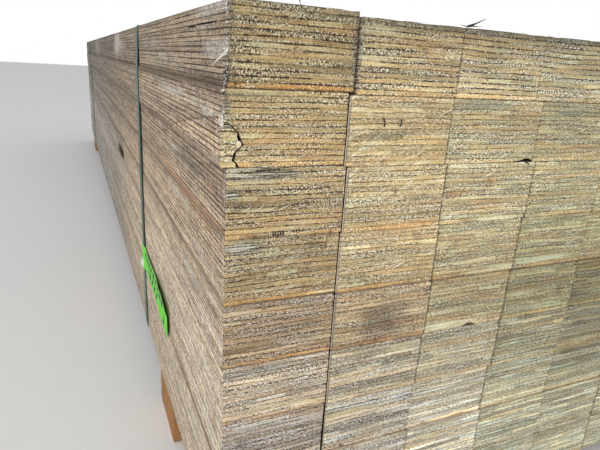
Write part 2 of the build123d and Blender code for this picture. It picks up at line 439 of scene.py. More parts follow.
def edge_material():
    """Sawn long edges: veneers seen along their length, grey-brown, with butt joints."""
    t = Nodes("veneer_edges")
    (_, s, v), height, beam, seed, number, line_number, to_line = veneer_fields(t)
    own = t.random(number, beam, 7.0)
    offset = number * 13.7
    marks = t.parts("marks")
    weathered, bright, row_warm = t.parts("tone")
    warm = row_warm * (1.0 - row_warm) * 1.43 * (height / VENEERS - 0.5) + row_warm
    # The first joint's hidden side is painted pale near the end, as if lit, and painted shade beyond
    _, _, lit_strip_depth = t.parts("finish")
    lit_strip = s < lit_strip_depth
    pale_share = t.math("MAXIMUM", lit_strip, lit_strip_depth < 0.001)
    dark = marks[0] * (1.0 - lit_strip)

    # Each veneer is a row of sheets, each with its own tone
    sheet = s / SHEET_LENGTH + own[0] * 9.0
    sheet_number = t.math("FLOOR", sheet)
    p = t.random(sheet_number, beam * 91.0 + number, 4.0)
    t.color = t.mix(t.band(p[0], 0.1, 0.9), (0.6, 0.46, 0.31), (0.365, 0.27, 0.195))
    t.cover(t.band(p[1], 0.62, 0.92) * 0.6, (0.58, 0.43, 0.25))

    # Grain drawn out along the beam, light and dark flecks, fine saw marks across
    streaks = t.noise(s * 0.005, v * 0.11, seed, 5.0, 0.7)
    t.light(streaks, 0.32, 0.68, 0.84, 1.18)
    mottle = t.noise(s * 0.022, v * 0.16, 3.0, 5.0, 0.75)
    t.light(mottle, 0.34, 0.66, 0.78, 1.24)
    long_grain = t.noise(s * 0.02, v * 0.8, offset, 4.0, 0.75)
    t.light(long_grain, 0.32, 0.68, 0.74, 1.26)
    drawn = t.noise(s * 0.0028, v * 0.3, seed + 5.0, 3.0, 0.75)
    t.light(drawn, 0.34, 0.66, 0.7, 1.3)
    t.cover(t.band(drawn, 0.58, 0.66) * 0.5, (0.76, 0.66, 0.53))
    t.cover(t.band(drawn, 0.42, 0.34) * 0.5, (0.15, 0.105, 0.08))
    scratches = t.noise(s * 0.0035, v * 0.85, seed, 2.0, 0.6)
    t.cover(t.band(scratches, 0.6, 0.7) * 0.55, (0.74, 0.65, 0.52))
    flecks = t.noise(s * 0.24, v * 0.72, offset, 4.0, 0.8)
    t.cover(t.band(flecks, 0.525, 0.61) * 0.85, (0.84, 0.73, 0.58))
    t.cover(t.band(flecks, 0.46, 0.38) * 0.8, (0.115, 0.08, 0.06))
    patches = t.noise(s * 0.055, v * 0.85, offset + 3.0, 3.0, 0.7)
    t.cover(t.band(patches, 0.54, 0.62) * 0.6, (0.78, 0.67, 0.53))
    t.cover(t.band(patches, 0.46, 0.38) * 0.55, (0.16, 0.115, 0.085))
    saw = t.noise(s * 0.3, v * 0.05, seed, 3.0, 0.7)
    t.light(saw, 0.34, 0.66, 0.82, 1.18)

    # Glue lines and the butt joints between sheets
    line_noise = t.noise(s * 0.016, line_number * 7.3, seed, 4.0, 0.7)
    width = t.band(line_noise, 0.32, 0.66, 0.22, 0.7)
    line = t.band(to_line, width, width * 0.3) * t.band(line_noise, 0.3, 0.46, 0.35, 0.97)
    t.cover(line, (0.07, 0.046, 0.036))
    to_joint = (0.5 - abs(sheet - sheet_number - 0.5)) * SHEET_LENGTH
    t.cover(t.band(to_joint, 1.7, 0.8) * t.band(p[2], 0.3, 0.5, 0.0, 0.8), (0.15, 0.065, 0.04))

    # The outer veneers are darkest; broad weather and marks on top
    outer = t.math("MAXIMUM", t.band(height, 1.2, 0.5), t.band(height, 11.9, 12.6))
    t.cover(outer * t.band(warm, 0.2, 1.0, 0.18, 0.5), (0.14, 0.1, 0.088))
    cloud = t.noise(s * 0.006, v * 0.03, seed, 4.0, 0.6)
    t.cover(t.band(cloud, 0.42, 0.7) * weathered, t.shade(t.color, 0.66))
    t.tint(t.band(warm, 0.88, 0.12), (1.3, 1.38, 1.46))
    # Painted light: the side is shaded darker and bluer farther from the near end
    t.light(t.band(warm, 1.0, 0.9, 0.96, 1.1) * t.band(s, 250, 900, 1.05, 0.71))
    t.tint(1.0, (1.0, 0.975, 0.945))
    t.tint(t.band(s, 480, 1200), (0.97, 1.08, 1.27))
    t.cover(marks[1], (0.2, 0.175, 0.14))
    # Dark marks: dirt, and painted shade on joint sides, in slots and in the crack
    t.cover(dark, DIRT_AND_SHADE)
    pale = t.shade((0.86, 0.8, 0.71), t.band(flecks, 0.4, 0.58, 0.5, 1.12))
    # Painted light: a pale pinkish lit strip near the end of the first joint's side
    pale = t.mix(lit_strip, pale, (0.95, 0.77, 0.63))
    t.cover(marks[2] * 0.85 * pale_share, pale)
    t.cover(t.attribute("rusty") * t.band(long_grain, 0.36, 0.6, 0.2, 1.0), (0.6, 0.27, 0.1))
    # Dark marks from 1 to 2 are painted shade, darkened almost to black
    t.light(bright * t.band(dark, 1.0, 2.0, 1.0, 0.1))

    relief = long_grain * 0.6 + flecks * 0.6 - line * 0.8
    return t.finish(0.85, relief, 0.0006, specular=0.25)


def face_material():
    """Peeled faces: broad wavy figure, fine grain, small knots, grey weather."""
    t = Nodes("veneer_faces")
    u, s, _ = t.place()
    seed = t.attribute("seed")
    _, bright, _ = t.parts("tone")
    dark, _, pale = t.parts("marks")
    bends = t.noise(u * 0.011, s * 0.0016, seed) * 34.0 + t.noise(u * 0.05, s * 0.006, seed, 3.0, 0.6) * 5.0
    figure = t.math("SINE", bends)
    t.color = t.mix(t.band(figure, -0.7, 0.9), (0.47, 0.36, 0.235), (0.33, 0.235, 0.145))
    t.cover(t.band(figure, 0.75, 1.0) * 0.6, (0.235, 0.15, 0.09))
    fine = t.noise(u * 1.6, s * 0.016, seed, 4.0, 0.7)
    t.light(fine, 0.3, 0.7, 0.78, 1.22)
    checks = t.band(t.noise(u * 0.75, s * 0.007, seed + 4.0), 0.7, 0.76)
    t.cover(checks * 0.75, (0.085, 0.06, 0.045))
    grey = t.noise(u * 0.02, s * 0.004, seed, 4.0, 0.65)
    t.cover(t.band(grey, 0.35, 0.65, 0.15, 0.62), (0.33, 0.3, 0.25))
    dust = t.noise(u * 0.05, s * 0.03, 0.0, 4.0, 0.7)
    t.cover(t.band(dust, 0.58, 0.72) * 0.35, (0.14, 0.12, 0.1))

    # Knots: one cell in a few holds an oval with dark rings
    grid = t.combine(u / KNOT_CELL[0], s / KNOT_CELL[1], seed)
    cells = t.outputs("ShaderNodeTexVoronoi", {"Vector": grid, "Scale": 1.0, "Randomness": 0.85})
    delta = t.node("ShaderNodeVectorMath", {0: grid, 1: cells["Position"]}, operation="SUBTRACT")
    near = t.node("ShaderNodeVectorMath", {0: t.scaled(delta, (55.0, 150.0, 0))}, operation="LENGTH")
    spot = t.split(cells["Color"])
    is_knot = t.band(spot[0], 0.8, 0.81)
    t.cover(t.band(near, 22.0, 7.0) * is_knot * 0.35, (0.24, 0.14, 0.075))
    rings = t.band(t.math("SINE", near * 3.2), -1, 1, 0.7, 1.2)
    t.cover(t.band(near, 9.0, 5.5) * is_knot, t.shade((0.13, 0.075, 0.045), rings))
    # Dark marks: dirt, and from 1 up painted shade under chips and at joints, darkened almost to black
    t.cover(dark, DIRT_AND_SHADE)
    t.cover(pale * 0.85, (0.62, 0.58, 0.5))
    t.light(bright * t.band(dark, 1.0, 2.0, 1.0, 0.1))
    relief = fine * 0.8 - checks
    return t.finish(0.85, relief, 0.0005, specular=0.25)


# Beams

END, EDGE, FACE, FIBRES = 0, 1, 2, 3        # which material a face has
DARK, GREY, PALE, RUSTY = 0, 1, 2, 3        # kinds of marks
SINGLE = ("veneer", "seed", "rusty")        # what is one number at every point; the rest is three


def row_of(layer):
    """Number of a layer counted from the top."""
    return LAYERS + 1 - layer


def from_table(table, row, column, usual):
    """A row's value in a column. The fourth column's value also holds for those to its right."""
    return table.get(row, (usual,) * 4)[min(column, 3)]


def beam_boxes(node):
    """Low and high corner of each beam in a layer, in metres, from left to right."""
    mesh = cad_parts[node].data
    points = np.array([v.co for v in mesh.vertices])
    spans = sorted((points[list(p.vertices), 0].min(), points[list(p.vertices), 0].max())
                   for p in mesh.polygons)
    groups = [list(spans[0])]
    for low, high in spans[1:]:
        if low > groups[-1][1] + 0.1 * MM:
            groups.append([low, high])
        groups[-1][1] = max(groups[-1][1], high)
    boxes = []
    for low, high in groups:
        inside = points[(points[:, 0] > low - 0.05 * MM) & (points[:, 0] < high + 0.05 * MM)]
        boxes.append([inside.min(0), inside.max(0)])
    usual = np.median([b[1][0] - b[0][0] for b in boxes])
    for box in boxes:
        box[0][0] = box[1][0] - usual
    return boxes


class Section:
    """A grid over a cross-section. Its outline makes the long sides, the whole grid makes each end."""

    def __init__(self, u_steps, q_steps):
        self.u_steps, self.q_steps = np.asarray(u_steps, float), np.asarray(q_steps, float)
        nu, nq = len(u_steps), len(q_steps)
        self.ring = ([(i, 0) for i in range(nu)] + [(nu - 1, j) for j in range(1, nq)]
                     + [(i, nq - 1) for i in range(nu - 2, -1, -1)]
                     + [(0, j) for j in range(nq - 2, 0, -1)])
        self.side_kinds = [FACE] * (nu - 1) + [EDGE] * (nq - 1) + [FACE] * (nu - 1) + [EDGE] * (nq - 1)
        self.known = {}

    def points(self, stations):
        """Place across and up, distance along and a mark for the long sides, of every point."""
        ring_u = np.array([self.u_steps[i] for i, _ in self.ring])
        ring_q = np.array([self.q_steps[j] for _, j in self.ring])
        inner = np.meshgrid(self.u_steps[1:-1], self.q_steps[1:-1], indexing="ij")
        inner_u, inner_q = (g.ravel() for g in inner)
        u = np.concatenate([np.tile(ring_u, len(stations)), inner_u, inner_u])
        q = np.concatenate([np.tile(ring_q, len(stations)), inner_q, inner_q])
        ends = [np.full(len(inner_u), stations[0]), np.full(len(inner_u), stations[-1])]
        s = np.concatenate([np.repeat(stations, len(self.ring)), *ends])
        on_ring = np.arange(len(u)) < len(stations) * len(self.ring)
        return u, q, s, on_ring

    def faces(self, count):
        """Faces and their kinds for the given number of stations."""
        if count in self.known:
            return self.known[count]
        nu, nq, size = len(self.u_steps), len(self.q_steps), len(self.ring)
        lookup = {place: n for n, place in enumerate(self.ring)}
        faces, kinds = [], []
        for k in range(count - 1):
            for n in range(size):
                m = (n + 1) % size
                faces.append((k * size + n, k * size + m, (k + 1) * size + m, (k + 1) * size + n))
                kinds.append(self.side_kinds[n])
        for far in (0, 1):
            base = count * size + far * (nu - 2) * (nq - 2)
            ring = far * (count - 1) * size

            def at(i, j):
                return ring + lookup[i, j] if (i, j) in lookup else base + (i - 1) * (nq - 2) + j - 1

            for i in range(nu - 1):
                for j in range(nq - 1):
                    quad = (at(i, j), at(i, j + 1), at(i + 1, j + 1), at(i + 1, j))
                    faces.append(quad[::-1] if far == 0 else quad)
                    kinds.append(END)
        self.known[count] = faces, kinds
        return faces, kinds


class TimberMesh:
    """Gathers beams and splinters with what their materials read, then makes one object."""

    def __init__(self):
        self.points, self.faces, self.kinds, self.values, self.count = [], [], [], {}, 0

    def add(self, points, faces, kinds, place, veneer, seed, tone, marks, tint=(1, 1, 1),
            finish=(1, 0.4, 0)):
        """Adds one closed shape, with its values for every point or for all of them."""
        values = {"place": place, "veneer": veneer, "seed": seed, "tone": tone, "tint": tint,
                  "finish": finish, "marks": marks[:, :RUSTY], "rusty": marks[:, RUSTY]}
        for key, value in values.items():
            shape = (len(points),) if key in SINGLE else (len(points), 3)
            self.values.setdefault(key, []).append(np.broadcast_to(value, shape))
        self.faces += [tuple(i + self.count for i in face) for face in faces]
        self.kinds += kinds
        self.points.append(points)
        self.count += len(points)

    def build(self, name, materials):
        obj = new_object(name, np.concatenate(self.points), self.faces, materials, self.kinds)
        for key, parts in self.values.items():
            set_attribute(obj, key, np.concatenate(parts))
        return obj


ARRIS = 1.3                 # width of a beam's worn edges in mm
BEAM_WIDTH = 78.0


def beam_section(steps, heights=()):
    """Section of a beam with the given number of steps across and any further heights, in veneers."""
    across = np.concatenate([[0, ARRIS], np.linspace(3.2, 74.8, steps), [BEAM_WIDTH - ARRIS, BEAM_WIDTH]])
    up = [0, 0.38, 0.85, VENEERS - 1, VENEERS - 0.85, VENEERS - 0.38, VENEERS, *heights]
    for line in range(1, VENEERS - 1):
        up += [line, line + 0.15, line + 0.85]
    return Section(across, sorted(up))


FINE_SECTION = beam_section(26)
CORNER_SECTION = beam_section(26, (9.7, 9.78, 9.93, 10.07))
PLAIN_SECTION = beam_section(11)
FINE_COLUMNS = 4            # columns whose ends have the finer grid
NEAR_STATIONS = [0, 0.6, 1.4, 6, 10, 13]
FAR_STATIONS = [-12, -6, -1.2, -0.0]
SIDE_STATIONS = [3, 18, 25, 40, 60, 90, 130, 170, 215, 270, 340, 430, 540, 670, 820, 1000, 1200, 1420, 1600,
                 1800, 2000, 2150, 2260, 2340]
PATCH_STATIONS = [644, 656, 690, 730, 766, 780]       # round a white patch on the left side
JOINT_WIDTHS = (0.95, 0.5, 0.32)           # mm left open at the first, second and further joints
OPEN_JOINTS = {(9, 1): 1.7}                 # width in mm, by layer and the column to the right of the joint
MEAN_SIDE = 0.12            # mm that a beam's uneven side lies back on average
LIT_STRIP_DEPTHS = (1.6, 0.3)    # mm of the hidden sides at the first joint, upper and lower rows, that are painted pale as if lit
PROUD_RANGE = (0.5, 1.0)    # mm that the ends in the second column stand out
PROUD_ROWS = 6              # rows in which they do so; below, they may also lie back
LEAST_PROUD = -0.3
LEVELLED = 0.25             # what is left of the further columns' unevenness
SHIFT_FADE = 0.25           # share of a joint's shift that is lost with each further joint
# How far, in mm, the first joints of a layer lie to the right of their regular places
JOINT_SHIFTS = {9: (2.2, 0.4, -4.7), 8: (0.0, 0.4, 4.1), 7: (0.9, 0.6, 5.8), 6: (1.3, 4.1, 5.9),
                5: (0.6, 3.0, 3.2), 4: (0.8, 1.2, 2.0)}

# Split corner: the crack's inner side on the end, across and up, in mm; it closes along the beam
CRACK = np.array([(0, 29), (2.6, 25.7), (5.2, 24.0), (5.8, 22.8), (8.0, 21.4), (9.6, 18.7), (10.3, 16.2),
                  (12.0, 13.4), (9.8, 11.8), (7.9, 10.0), (7.2, 7.2), (6.2, 4.4), (8.2, 2.6), (9.4, 0)])
CRACK_LENGTH = 170.0
WEDGE_OUT = 2.1             # mm that the wedge is bent outwards at its end
WEDGE_GREY = 0.78           # share of the wedge's height above which its end is grey
# Height on the end, and how wide the crack stands open there, in mm
CRACK_GAPS = [(0, 1.7), (4.4, 1.5), (7, 1.8), (10, 1.2), (12, 0.7), (14, 1.3), (18, 1.6), (21, 1.0),
              (24, 0.8), (26, 0.25)]
# Rounded plug beside the crack: place and half sizes, across and up, in mm
KNOT = (8.5, 14.0, 1.75, 2.3)

# Slots and holes in the left side: layer, middle along in mm, middle height in veneers, half sizes in
# the same, depth in mm
SLOTS = [(9, 56, 10.0, 27, 0.1, 2.0), (9, 95, 9.85, 15, 0.09, 3.0), (5, 745, 4.3, 60, 2.6, 9.0),
         (5, 1537, 9.0, 13, 1.0, 5.0)]
# Pieces broken out of the lowest veneer at the near end: layer, column, peak across, reach to the left
# and right and height in mm
CHIPS = [(5, 2, 44.0, 9.0, 7.5, 3.2), (8, 2, 75.0, 13.0, 5.0, 2.8)]
CHIP_DEPTH = 9.0            # mm that they reach in along the beam


def crack_depth(v, s):
    """How deep the crack lies at height v and distance s along the beam, in mm."""
    scale = np.clip(1 - s / CRACK_LENGTH, 0, 1) ** 0.7
    depth = np.interp(v / np.maximum(scale, 0.01), CRACK[::-1, 1], CRACK[::-1, 0], right=0.0)
    return depth * scale


def end_relief(u, q, width, seed):
    """How far the sawn end lies back, in mm: uneven veneers, glue lines, torn and chipped spots."""
    veneer = np.floor(np.clip(q, 0, VENEERS - TINY))
    line = np.round(q)
    to_line = np.abs(q - line) * VENEER
    level = 0.14 * by_veneer(veneer, seed) + 0.1 * (1 + wave(u / 11, veneer * 3.7, seed + 1))
    groove = np.exp(-(to_line / 0.5) ** 2) * (0.06 + 0.34 * over(wave(u / 5, line * 2.1, seed + 2), 0.0))
    torn = 0.8 * over(wave(u / 5.5, veneer * 5.3 + 0.5, seed + 3), 0.6)
    edge = np.minimum.reduce([u, width - u, q * VENEER, (VENEERS - q) * VENEER])
    rim = np.exp(-np.abs(edge) / 0.6) * (0.06 + 0.2 * over(wave(u / 7, q / 2, seed + 4), 0.0))
    outer = (veneer < 1) | (veneer > VENEERS - 2)
    chips = np.where(outer, 1.8 * over(wave(u / 6, veneer, seed + 5), 0.66), 0)
    return 0.04 + level + groove + torn + rim + chips * (edge < 3)


def beam_stations(layer, column, last, length):
    """Distances along a beam at which its section is repeated, closer together where there is damage."""
    stations = set(NEAR_STATIONS)
    if column in (0, last) or layer == LAYERS:
        stations |= set(SIDE_STATIONS)
    if (layer, column) == (SPLIT_LAYER, 0):
        stations |= set(range(30, 180, 10))
    if (layer, column) == (LAYERS, 0):
        stations |= set(PATCH_STATIONS)
    for slot_layer, slot_s, _, half_s, _, _ in SLOTS:
        if (layer, column) == (slot_layer, 0):
            stations |= set(slot_s + half_s * np.linspace(-1.15, 1.15, 13))
    return np.array(sorted(stations) + [length + s for s in FAR_STATIONS], float)


def soft_spot(a, b, seed, sharp=1.25):
    """A patch with an uneven rim around a = b = 0, which reaches out to about 1."""
    return np.clip((1 + sharp * 0.4) - sharp * (np.hypot(a, b) + 0.3 * wave(a * 2.1, b * 2.1, seed)), 0, 1)


# Marks on near ends by kind: row from the top, column, mm across, veneer height, half sizes, strength
END_MARKS = {
    DARK: [(5, 1, 37, 5.7, 21, 4.8, 0.72), (1, 0, 0, 7.5, 1.6, 9.0, 0.6), (1, 0, 2, 1.6, 5, 1.8, 0.5),
        (2, 0, 0, 10.0, 2.0, 4.0, 0.5), (1, 1, 40, 12.5, 60, 0.8, 0.4), (1, 2, 40, 12.3, 60, 0.9, 0.45),
        (1, 3, 40, 12.5, 60, 0.9, 0.5), (1, 0, 78, 6.0, 2.5, 9.0, 0.4), (1, 1, 0, 6.5, 2.0, 9.0, 0.35),
        (3, 0, 12, 6.5, 18, 0.8, 0.6), (4, 2, 17, 8.1, 4, 1.0, 0.5), (5, 3, 63, 5.6, 4, 1.6, 0.45),
        (5, 4, 5, 3.1, 7, 1.8, 0.4), (3, 0, 22, 0.3, 10, 0.4, 0.8), (4, 0, 60, 10.5, 5, 0.9, 0.5),
        (1, 2, 20, 12.6, 14, 0.8, 0.7), (7, 0, 14, 7.0, 6, 1.6, 0.6), (3, 0, 16, 8.6, 14, 0.7, 0.4),
        (1, 0, 12, 9.8, 4, 1.0, 0.5), (3, 2, 3, 6.4, 4, 0.9, 0.4), (2, 1, 22, 8.0, 3, 0.5, 0.35),
        (4, 1, 60, 11.0, 4, 1.0, 0.55), (3, 3, 30, 8.4, 6, 1.2, 0.45), (5, 1, 60, 4.5, 30, 0.8, 0.35)],
    GREY: [(1, 0, 1, 8.0, 3, 9.0, 0.5), (2, 0, 1, 10.0, 4, 4.0, 0.75), (1, 0, 78, 6.0, 3.5, 9.0, 1.0),
        (1, 1, 0, 6.5, 2.4, 9.0, 1.0), (1, 0, 40, 11.9, 60, 1.2, 0.35), (2, 0, 45, 6.8, 45, 0.8, 0.6),
        (3, 0, 14, 11.6, 17, 1.3, 0.9), (3, 0, 24, 12.0, 30, 1.5, 1.0), (3, 0, 4, 8.2, 6, 1.3, 0.9),
        (2, 1, 26, 5.9, 17, 0.8, 0.5), (2, 2, 30, 11.8, 40, 1.2, 0.6), (4, 0, 12, 11.2, 18, 1.6, 0.95),
        (4, 2, 30, 11.5, 40, 1.0, 0.5), (2, 0, 10, 12.2, 30, 0.6, 0.6), (5, 0, 60, 12.0, 30, 0.9, 0.6),
        (4, 3, 30, 11.5, 50, 1.2, 0.5), (6, 0, 20, 11.5, 30, 1.0, 0.7), (6, 1, 60, 11.0, 40, 1.2, 0.5),
        (5, 2, 40, 11.5, 50, 1.0, 0.45), (2, 3, 30, 11.0, 40, 1.6, 0.5), (7, 0, 30, 10.0, 60, 1.6, 0.5)],
    PALE: [(6, 0, 62, 1.5, 20, 0.8, 0.9), (6, 0, 36, 2.5, 22, 0.8, 0.7), (7, 1, 30, 9.5, 32, 0.8, 0.85),
        (6, 1, 60, 10.5, 16, 1.5, 0.5), (3, 2, 52, 0.5, 26, 0.8, 0.8), (4, 3, 30, 2.0, 40, 0.9, 0.95),
        (5, 0, 12, 11.5, 14, 0.8, 0.6), (4, 2, 62, 0.9, 22, 0.9, 0.9), (1, 1, 14, 11.0, 14, 0.9, 0.8),
        (1, 1, 8, 6.5, 14, 0.8, 0.8), (1, 0, 20, 6.5, 13, 0.8, 0.75), (3, 0, 16, 10.4, 22, 0.6, 0.9),
        (5, 2, 20, 1.1, 34, 0.8, 0.9), (5, 3, 14, 6.5, 18, 0.7, 0.8), (5, 3, 44, 2.2, 30, 0.7, 0.9)],
    RUSTY: [(3, 0, 7, 0.5, 16, 0.7, 0.95), (3, 1, 31, 5.3, 12, 0.55, 0.9), (2, 1, 21, 8.4, 2.5, 0.5, 0.6),
        (3, 2, 9, 6.4, 9, 1.0, 0.9), (3, 2, 39, 8.8, 7, 1.2, 0.7), (2, 2, 20, 7.5, 4, 0.7, 0.7),
        (3, 2, 22, 5.4, 24, 0.4, 0.5), (1, 1, 40, 9.5, 30, 0.8, 0.4), (1, 2, 34, 8.5, 36, 0.7, 0.35),
        (1, 0, 66, 9.5, 12, 0.7, 0.5), (2, 0, 60, 3.5, 20, 0.7, 0.6), (2, 1, 64, 2.5, 20, 0.6, 0.5),
        (4, 0, 40, 6.5, 24, 0.6, 0.5), (5, 1, 62, 4.2, 26, 0.5, 0.6), (7, 0, 50, 12.6, 40, 0.5, 0.7),
        (4, 1, 50, 3.5, 30, 0.5, 0.5)],
}
# Marks on the left side by kind: row from the top, mm along, veneer height, half sizes, strength
SIDE_MARKS = {
    DARK: [(1, 160, 1.0, 210, 1.2, 0.35), (2, 200, 12.4, 260, 0.9, 0.45), (3, 90, 9.0, 70, 2.5, 0.35),
        (3, 300, 4.0, 90, 3.0, 0.25), (5, 745, 4.3, 75, 3.0, 0.5), (2, 40, 12.4, 60, 0.6, 0.5),
        (1, 30, 0.7, 60, 0.8, 0.5)],
    GREY: [(3, 107, 7.7, 30, 2.2, 0.5), (3, 148, 9.0, 40, 1.5, 0.4)],
    PALE: [(1, 712, 7.8, 66, 6.0, 1.35), (1, 1440, 6.0, 60, 9.0, 0.55), (1, 22, 5.8, 40, 1.6, 0.85),
        (1, 8, 12.2, 16, 1.2, 0.7), (1, 300, 7.0, 46, 1.4, 0.7), (1, 220, 3.6, 60, 0.9, 0.4),
        (2, 180, 9.4, 60, 0.9, 0.8), (2, 70, 9.0, 40, 0.8, 0.5), (2, 3, 8.7, 5, 1.3, 1.1),
        (5, 40, 5.0, 50, 1.0, 0.6), (7, 90, 4.0, 120, 0.9, 0.75), (8, 60, 9.0, 90, 1.2, 0.6),
        (6, 200, 8.0, 120, 1.2, 0.4), (7, 130, 12.5, 170, 0.7, 0.9), (6, 60, 5.5, 70, 0.8, 0.8),
        (5, 110, 8.5, 60, 0.8, 0.9), (4, 150, 10.5, 60, 0.8, 0.7), (3, 170, 8.5, 26, 0.7, 0.9),
        (4, 60, 3.5, 40, 0.7, 0.6), (8, 140, 6.5, 160, 0.8, 0.8), (2, 35, 8.0, 34, 0.4, 1.0),
        (2, 132, 10.2, 16, 0.7, 0.9), (1, 60, 9.45, 28, 0.5, 0.5), (1, 34, 12.0, 46, 1.2, 0.8),
        (5, 30, 10.8, 16, 0.5, 1.2), (7, 55, 6.0, 50, 0.5, 1.1)],
    RUSTY: [(3, 150, 1.08, 200, 0.35, 1.0), (4, 120, 12.5, 60, 0.5, 0.8), (4, 54, 12.1, 30, 0.7, 0.5),
        (3, 45, 6.8, 18, 0.5, 0.6), (5, 18, 6.1, 16, 0.6, 0.4)],
}
# Rows from the top whose beams are darker or lighter than usual: added brightness by column
BEAM_SHADE = {1: (-0.15, -0.03, 0.02, -0.03), 2: (0.13, -0.01, -0.04, -0.23), 3: (-0.05, 0.03, 0.02, 0.01),
              4: (-0.12, -0.01, -0.15, -0.16, -0.24), 5: (-0.14, -0.15, -0.2, -0.24, -0.46),
              6: (0.22, -0.14, -0.13, -0.16, -0.31), 7: (0.0, -0.12, 0.22, 0.06, -0.15),
              8: (0.0, 0.0, 0.2, 0.03, 0.05)}


def beam_warmth(layer):
    """1 for the yellow upper layers, 0 for the paler lower ones."""
    return 1 / (1 + math.exp((LAYERS - layer - 4) / 0.7))


def beam_tone(layer, column):
    """Weather, brightness and warmth of one beam."""
    row = row_of(layer)
    weather = 0.34 + 0.07 * min(column, 8) + 0.15 * float(wave(column * 1.7, row * 1.3, 77))
    bright = 0.965 + 0.13 * math.exp(-((column - 1.3) / 1.3) ** 2) - 0.1 * (column == 0) + 0.09 * (row > 7)
    bright += 0.06 * float(wave(column * 2.3 + 0.4, (row - 1) * 1.9, 78))
    shades = BEAM_SHADE.get(row, ())
    return weather, bright + (shades[column] if column < len(shades) else 0), beam_warmth(layer)


# How much lighter the lowest and the highest veneers of a beam's ends are, by row from the top and column
FOOT_LIGHT = {1: (0.35, 0.3, 0.5, 0.65), 2: (0.2, 0.15, 0.55, 0.45), 3: (0.3, 0.1, 0.15, 0.0),
              4: (0.35, -0.25, 0.05, 0.2), 5: (0.0, -0.2, 0.35, 0.2), 6: (0.15, 0.1, 0.25, -0.1),
              7: (0.0, 0.1, 0.3, 0.3)}
TOP_LIGHT = {1: (-0.05, -0.35, -0.5, -0.45), 2: (0.0, 0.25, 0.1, 0.15), 3: (0.45, 0.15, 0.25, 0.35),
             4: (0.4, 0.4, 0.7, 0.35), 5: (0.4, 0.05, -0.05, -0.1), 6: (0.1, 0.25, 0.55, 0.0),
             7: (0.2, 0.25, -0.1, -0.3)}
# Brightness of the left side, by row from the top
SIDE_LIGHT = (0.9, 0.88, 1.03, 1.26, 1.22, 0.94, 1.05, 0.9, 0.84)


def point_tones(layer, column, q, to_end):
    """Tone of every point of a beam: its ends vary by veneer, the left side by row."""
    row = row_of(layer)
    foot, top = (from_table(table, row, column, 0.0) for table in (FOOT_LIGHT, TOP_LIGHT))
    tones = np.tile(beam_tone(layer, column), (len(q), 1))
    ends = 1 + foot * np.exp(-q / 2) + top * np.exp((q - VENEERS) / 2)
    tones[:, 1] *= np.where(to_end < TINY, ends, SIDE_LIGHT[row - 1] if column == 0 else 1.0)
    return tones


# Strength of the orange in the lowest veneer of the upper rows, by column
ORANGE_FOOT = {1: (1.0, 0.65, 0.35, 0.25), 2: (0.6, 0.7, 0.35, 0.3), 3: (0.95, 0.6, 0.45, 0.4),
               4: (0.85, 0.65, 0.6, 0.6), 5: (0.9, 0.6, 0.6, 0.5)}


def beam_finish(layer, column):
    """Contrast of the torn fibres, strength of the orange foot, and depth in mm of the painted pale lit
    strip on the left side.
    """
    row = row_of(layer)
    contrast = {1: 1.25, 2: 1.06, 3: 1.06}.get(row, 1.0)
    contrast *= (1.0, 0.88, 0.86, 0.84)[min(column, 3)] * (0.8 if (row, column) == (2, 1) else 1.0)
    lit_strip_depth = 0.0 if column != 1 or (layer, column) in OPEN_JOINTS else LIT_STRIP_DEPTHS[row > 6]
    return contrast, from_table(ORANGE_FOOT, row, column, 0.4), lit_strip_depth


def beam_tint(layer, column):
    """Colour factor of a beam's ends: greener to the right, less yellow below."""
    row, across, warm = row_of(layer), min(column, 3), beam_warmth(layer)
    green = 1.02 + 0.032 * across * (warm + 0.35) + min((row - 1) / 6, 1) * (0.02 + 0.025 * across)
    blue = 0.98 + 0.045 * min(across, 2) + 0.03 * min(row - 1, 6) * (1 - 0.3 * across)
    blue = blue * (1.14 + warm * (0.07 * across - 0.06))
    green -= 0.045 * (row == 5 and across < 2) + 0.02 * (row > 5)
    return 1.0, green, blue


def add_marks(marks, table, beam, along, q, surface, seed):
    """Adds a table's marks for one beam to the points of a surface."""
    for kind, spots in table.items():
        for *where, middle, height, half, half_height, strength in spots:
            if tuple(where) == beam:
                spot = soft_spot((along - middle) / half, (q - height) / half_height, seed + kind)
                marks[:, kind] = np.maximum(marks[:, kind], strength * spot * surface)


def beam_marks(layer, column, u, q, s, seed):
    """Strength of dark, grey, pale and rusty marks at every point; on the hidden joint sides they are
    painted shade, and painted light near the end of the first joint.
    """
    marks = np.zeros((len(u), 4))
    # Hidden sides at the joints: painted shade, at the first joint nearly black behind a painted pale lit
    # strip near the end; open joints are only greyed
    if column:
        inner = u < TINY
        if (layer, column) in OPEN_JOINTS:
            marks[inner, GREY] = 0.25
        elif column == 1:
            marks[inner, PALE], marks[inner, DARK] = 1.0, 2.0
        else:
            marks[inner, DARK] = 0.85 if column == 2 else 0.5
    # The lowest rim of each end is darker, more so in the left column
    foot = (q < TINY) & (s < TINY)
    foot_darkening = 0.35 * (column == 0) + (0.9 if column < 2 else 0.25) * wave(u / 30, q, seed)
    marks[foot, DARK] = np.clip(foot_darkening, 0, 0.95)[foot]
    add_marks(marks, END_MARKS, (row_of(layer), column), u, q, s < TINY, seed)
    if column == 0:
        add_marks(marks, SIDE_MARKS, (row_of(layer),), s, q, u < TINY, seed)
    return marks


def joint_shift(layer, joint, last):
    """Shift of the joint to the left of a column; it fades out towards the right side of the pack."""
    shifts = JOINT_SHIFTS.get(layer, (0.0,))
    if joint < 1 or joint > last:
        return 0.0
    if joint <= len(shifts):
        return shifts[joint - 1]
    return shifts[-1] * max(0.0, 1 - SHIFT_FADE * (joint - len(shifts)))


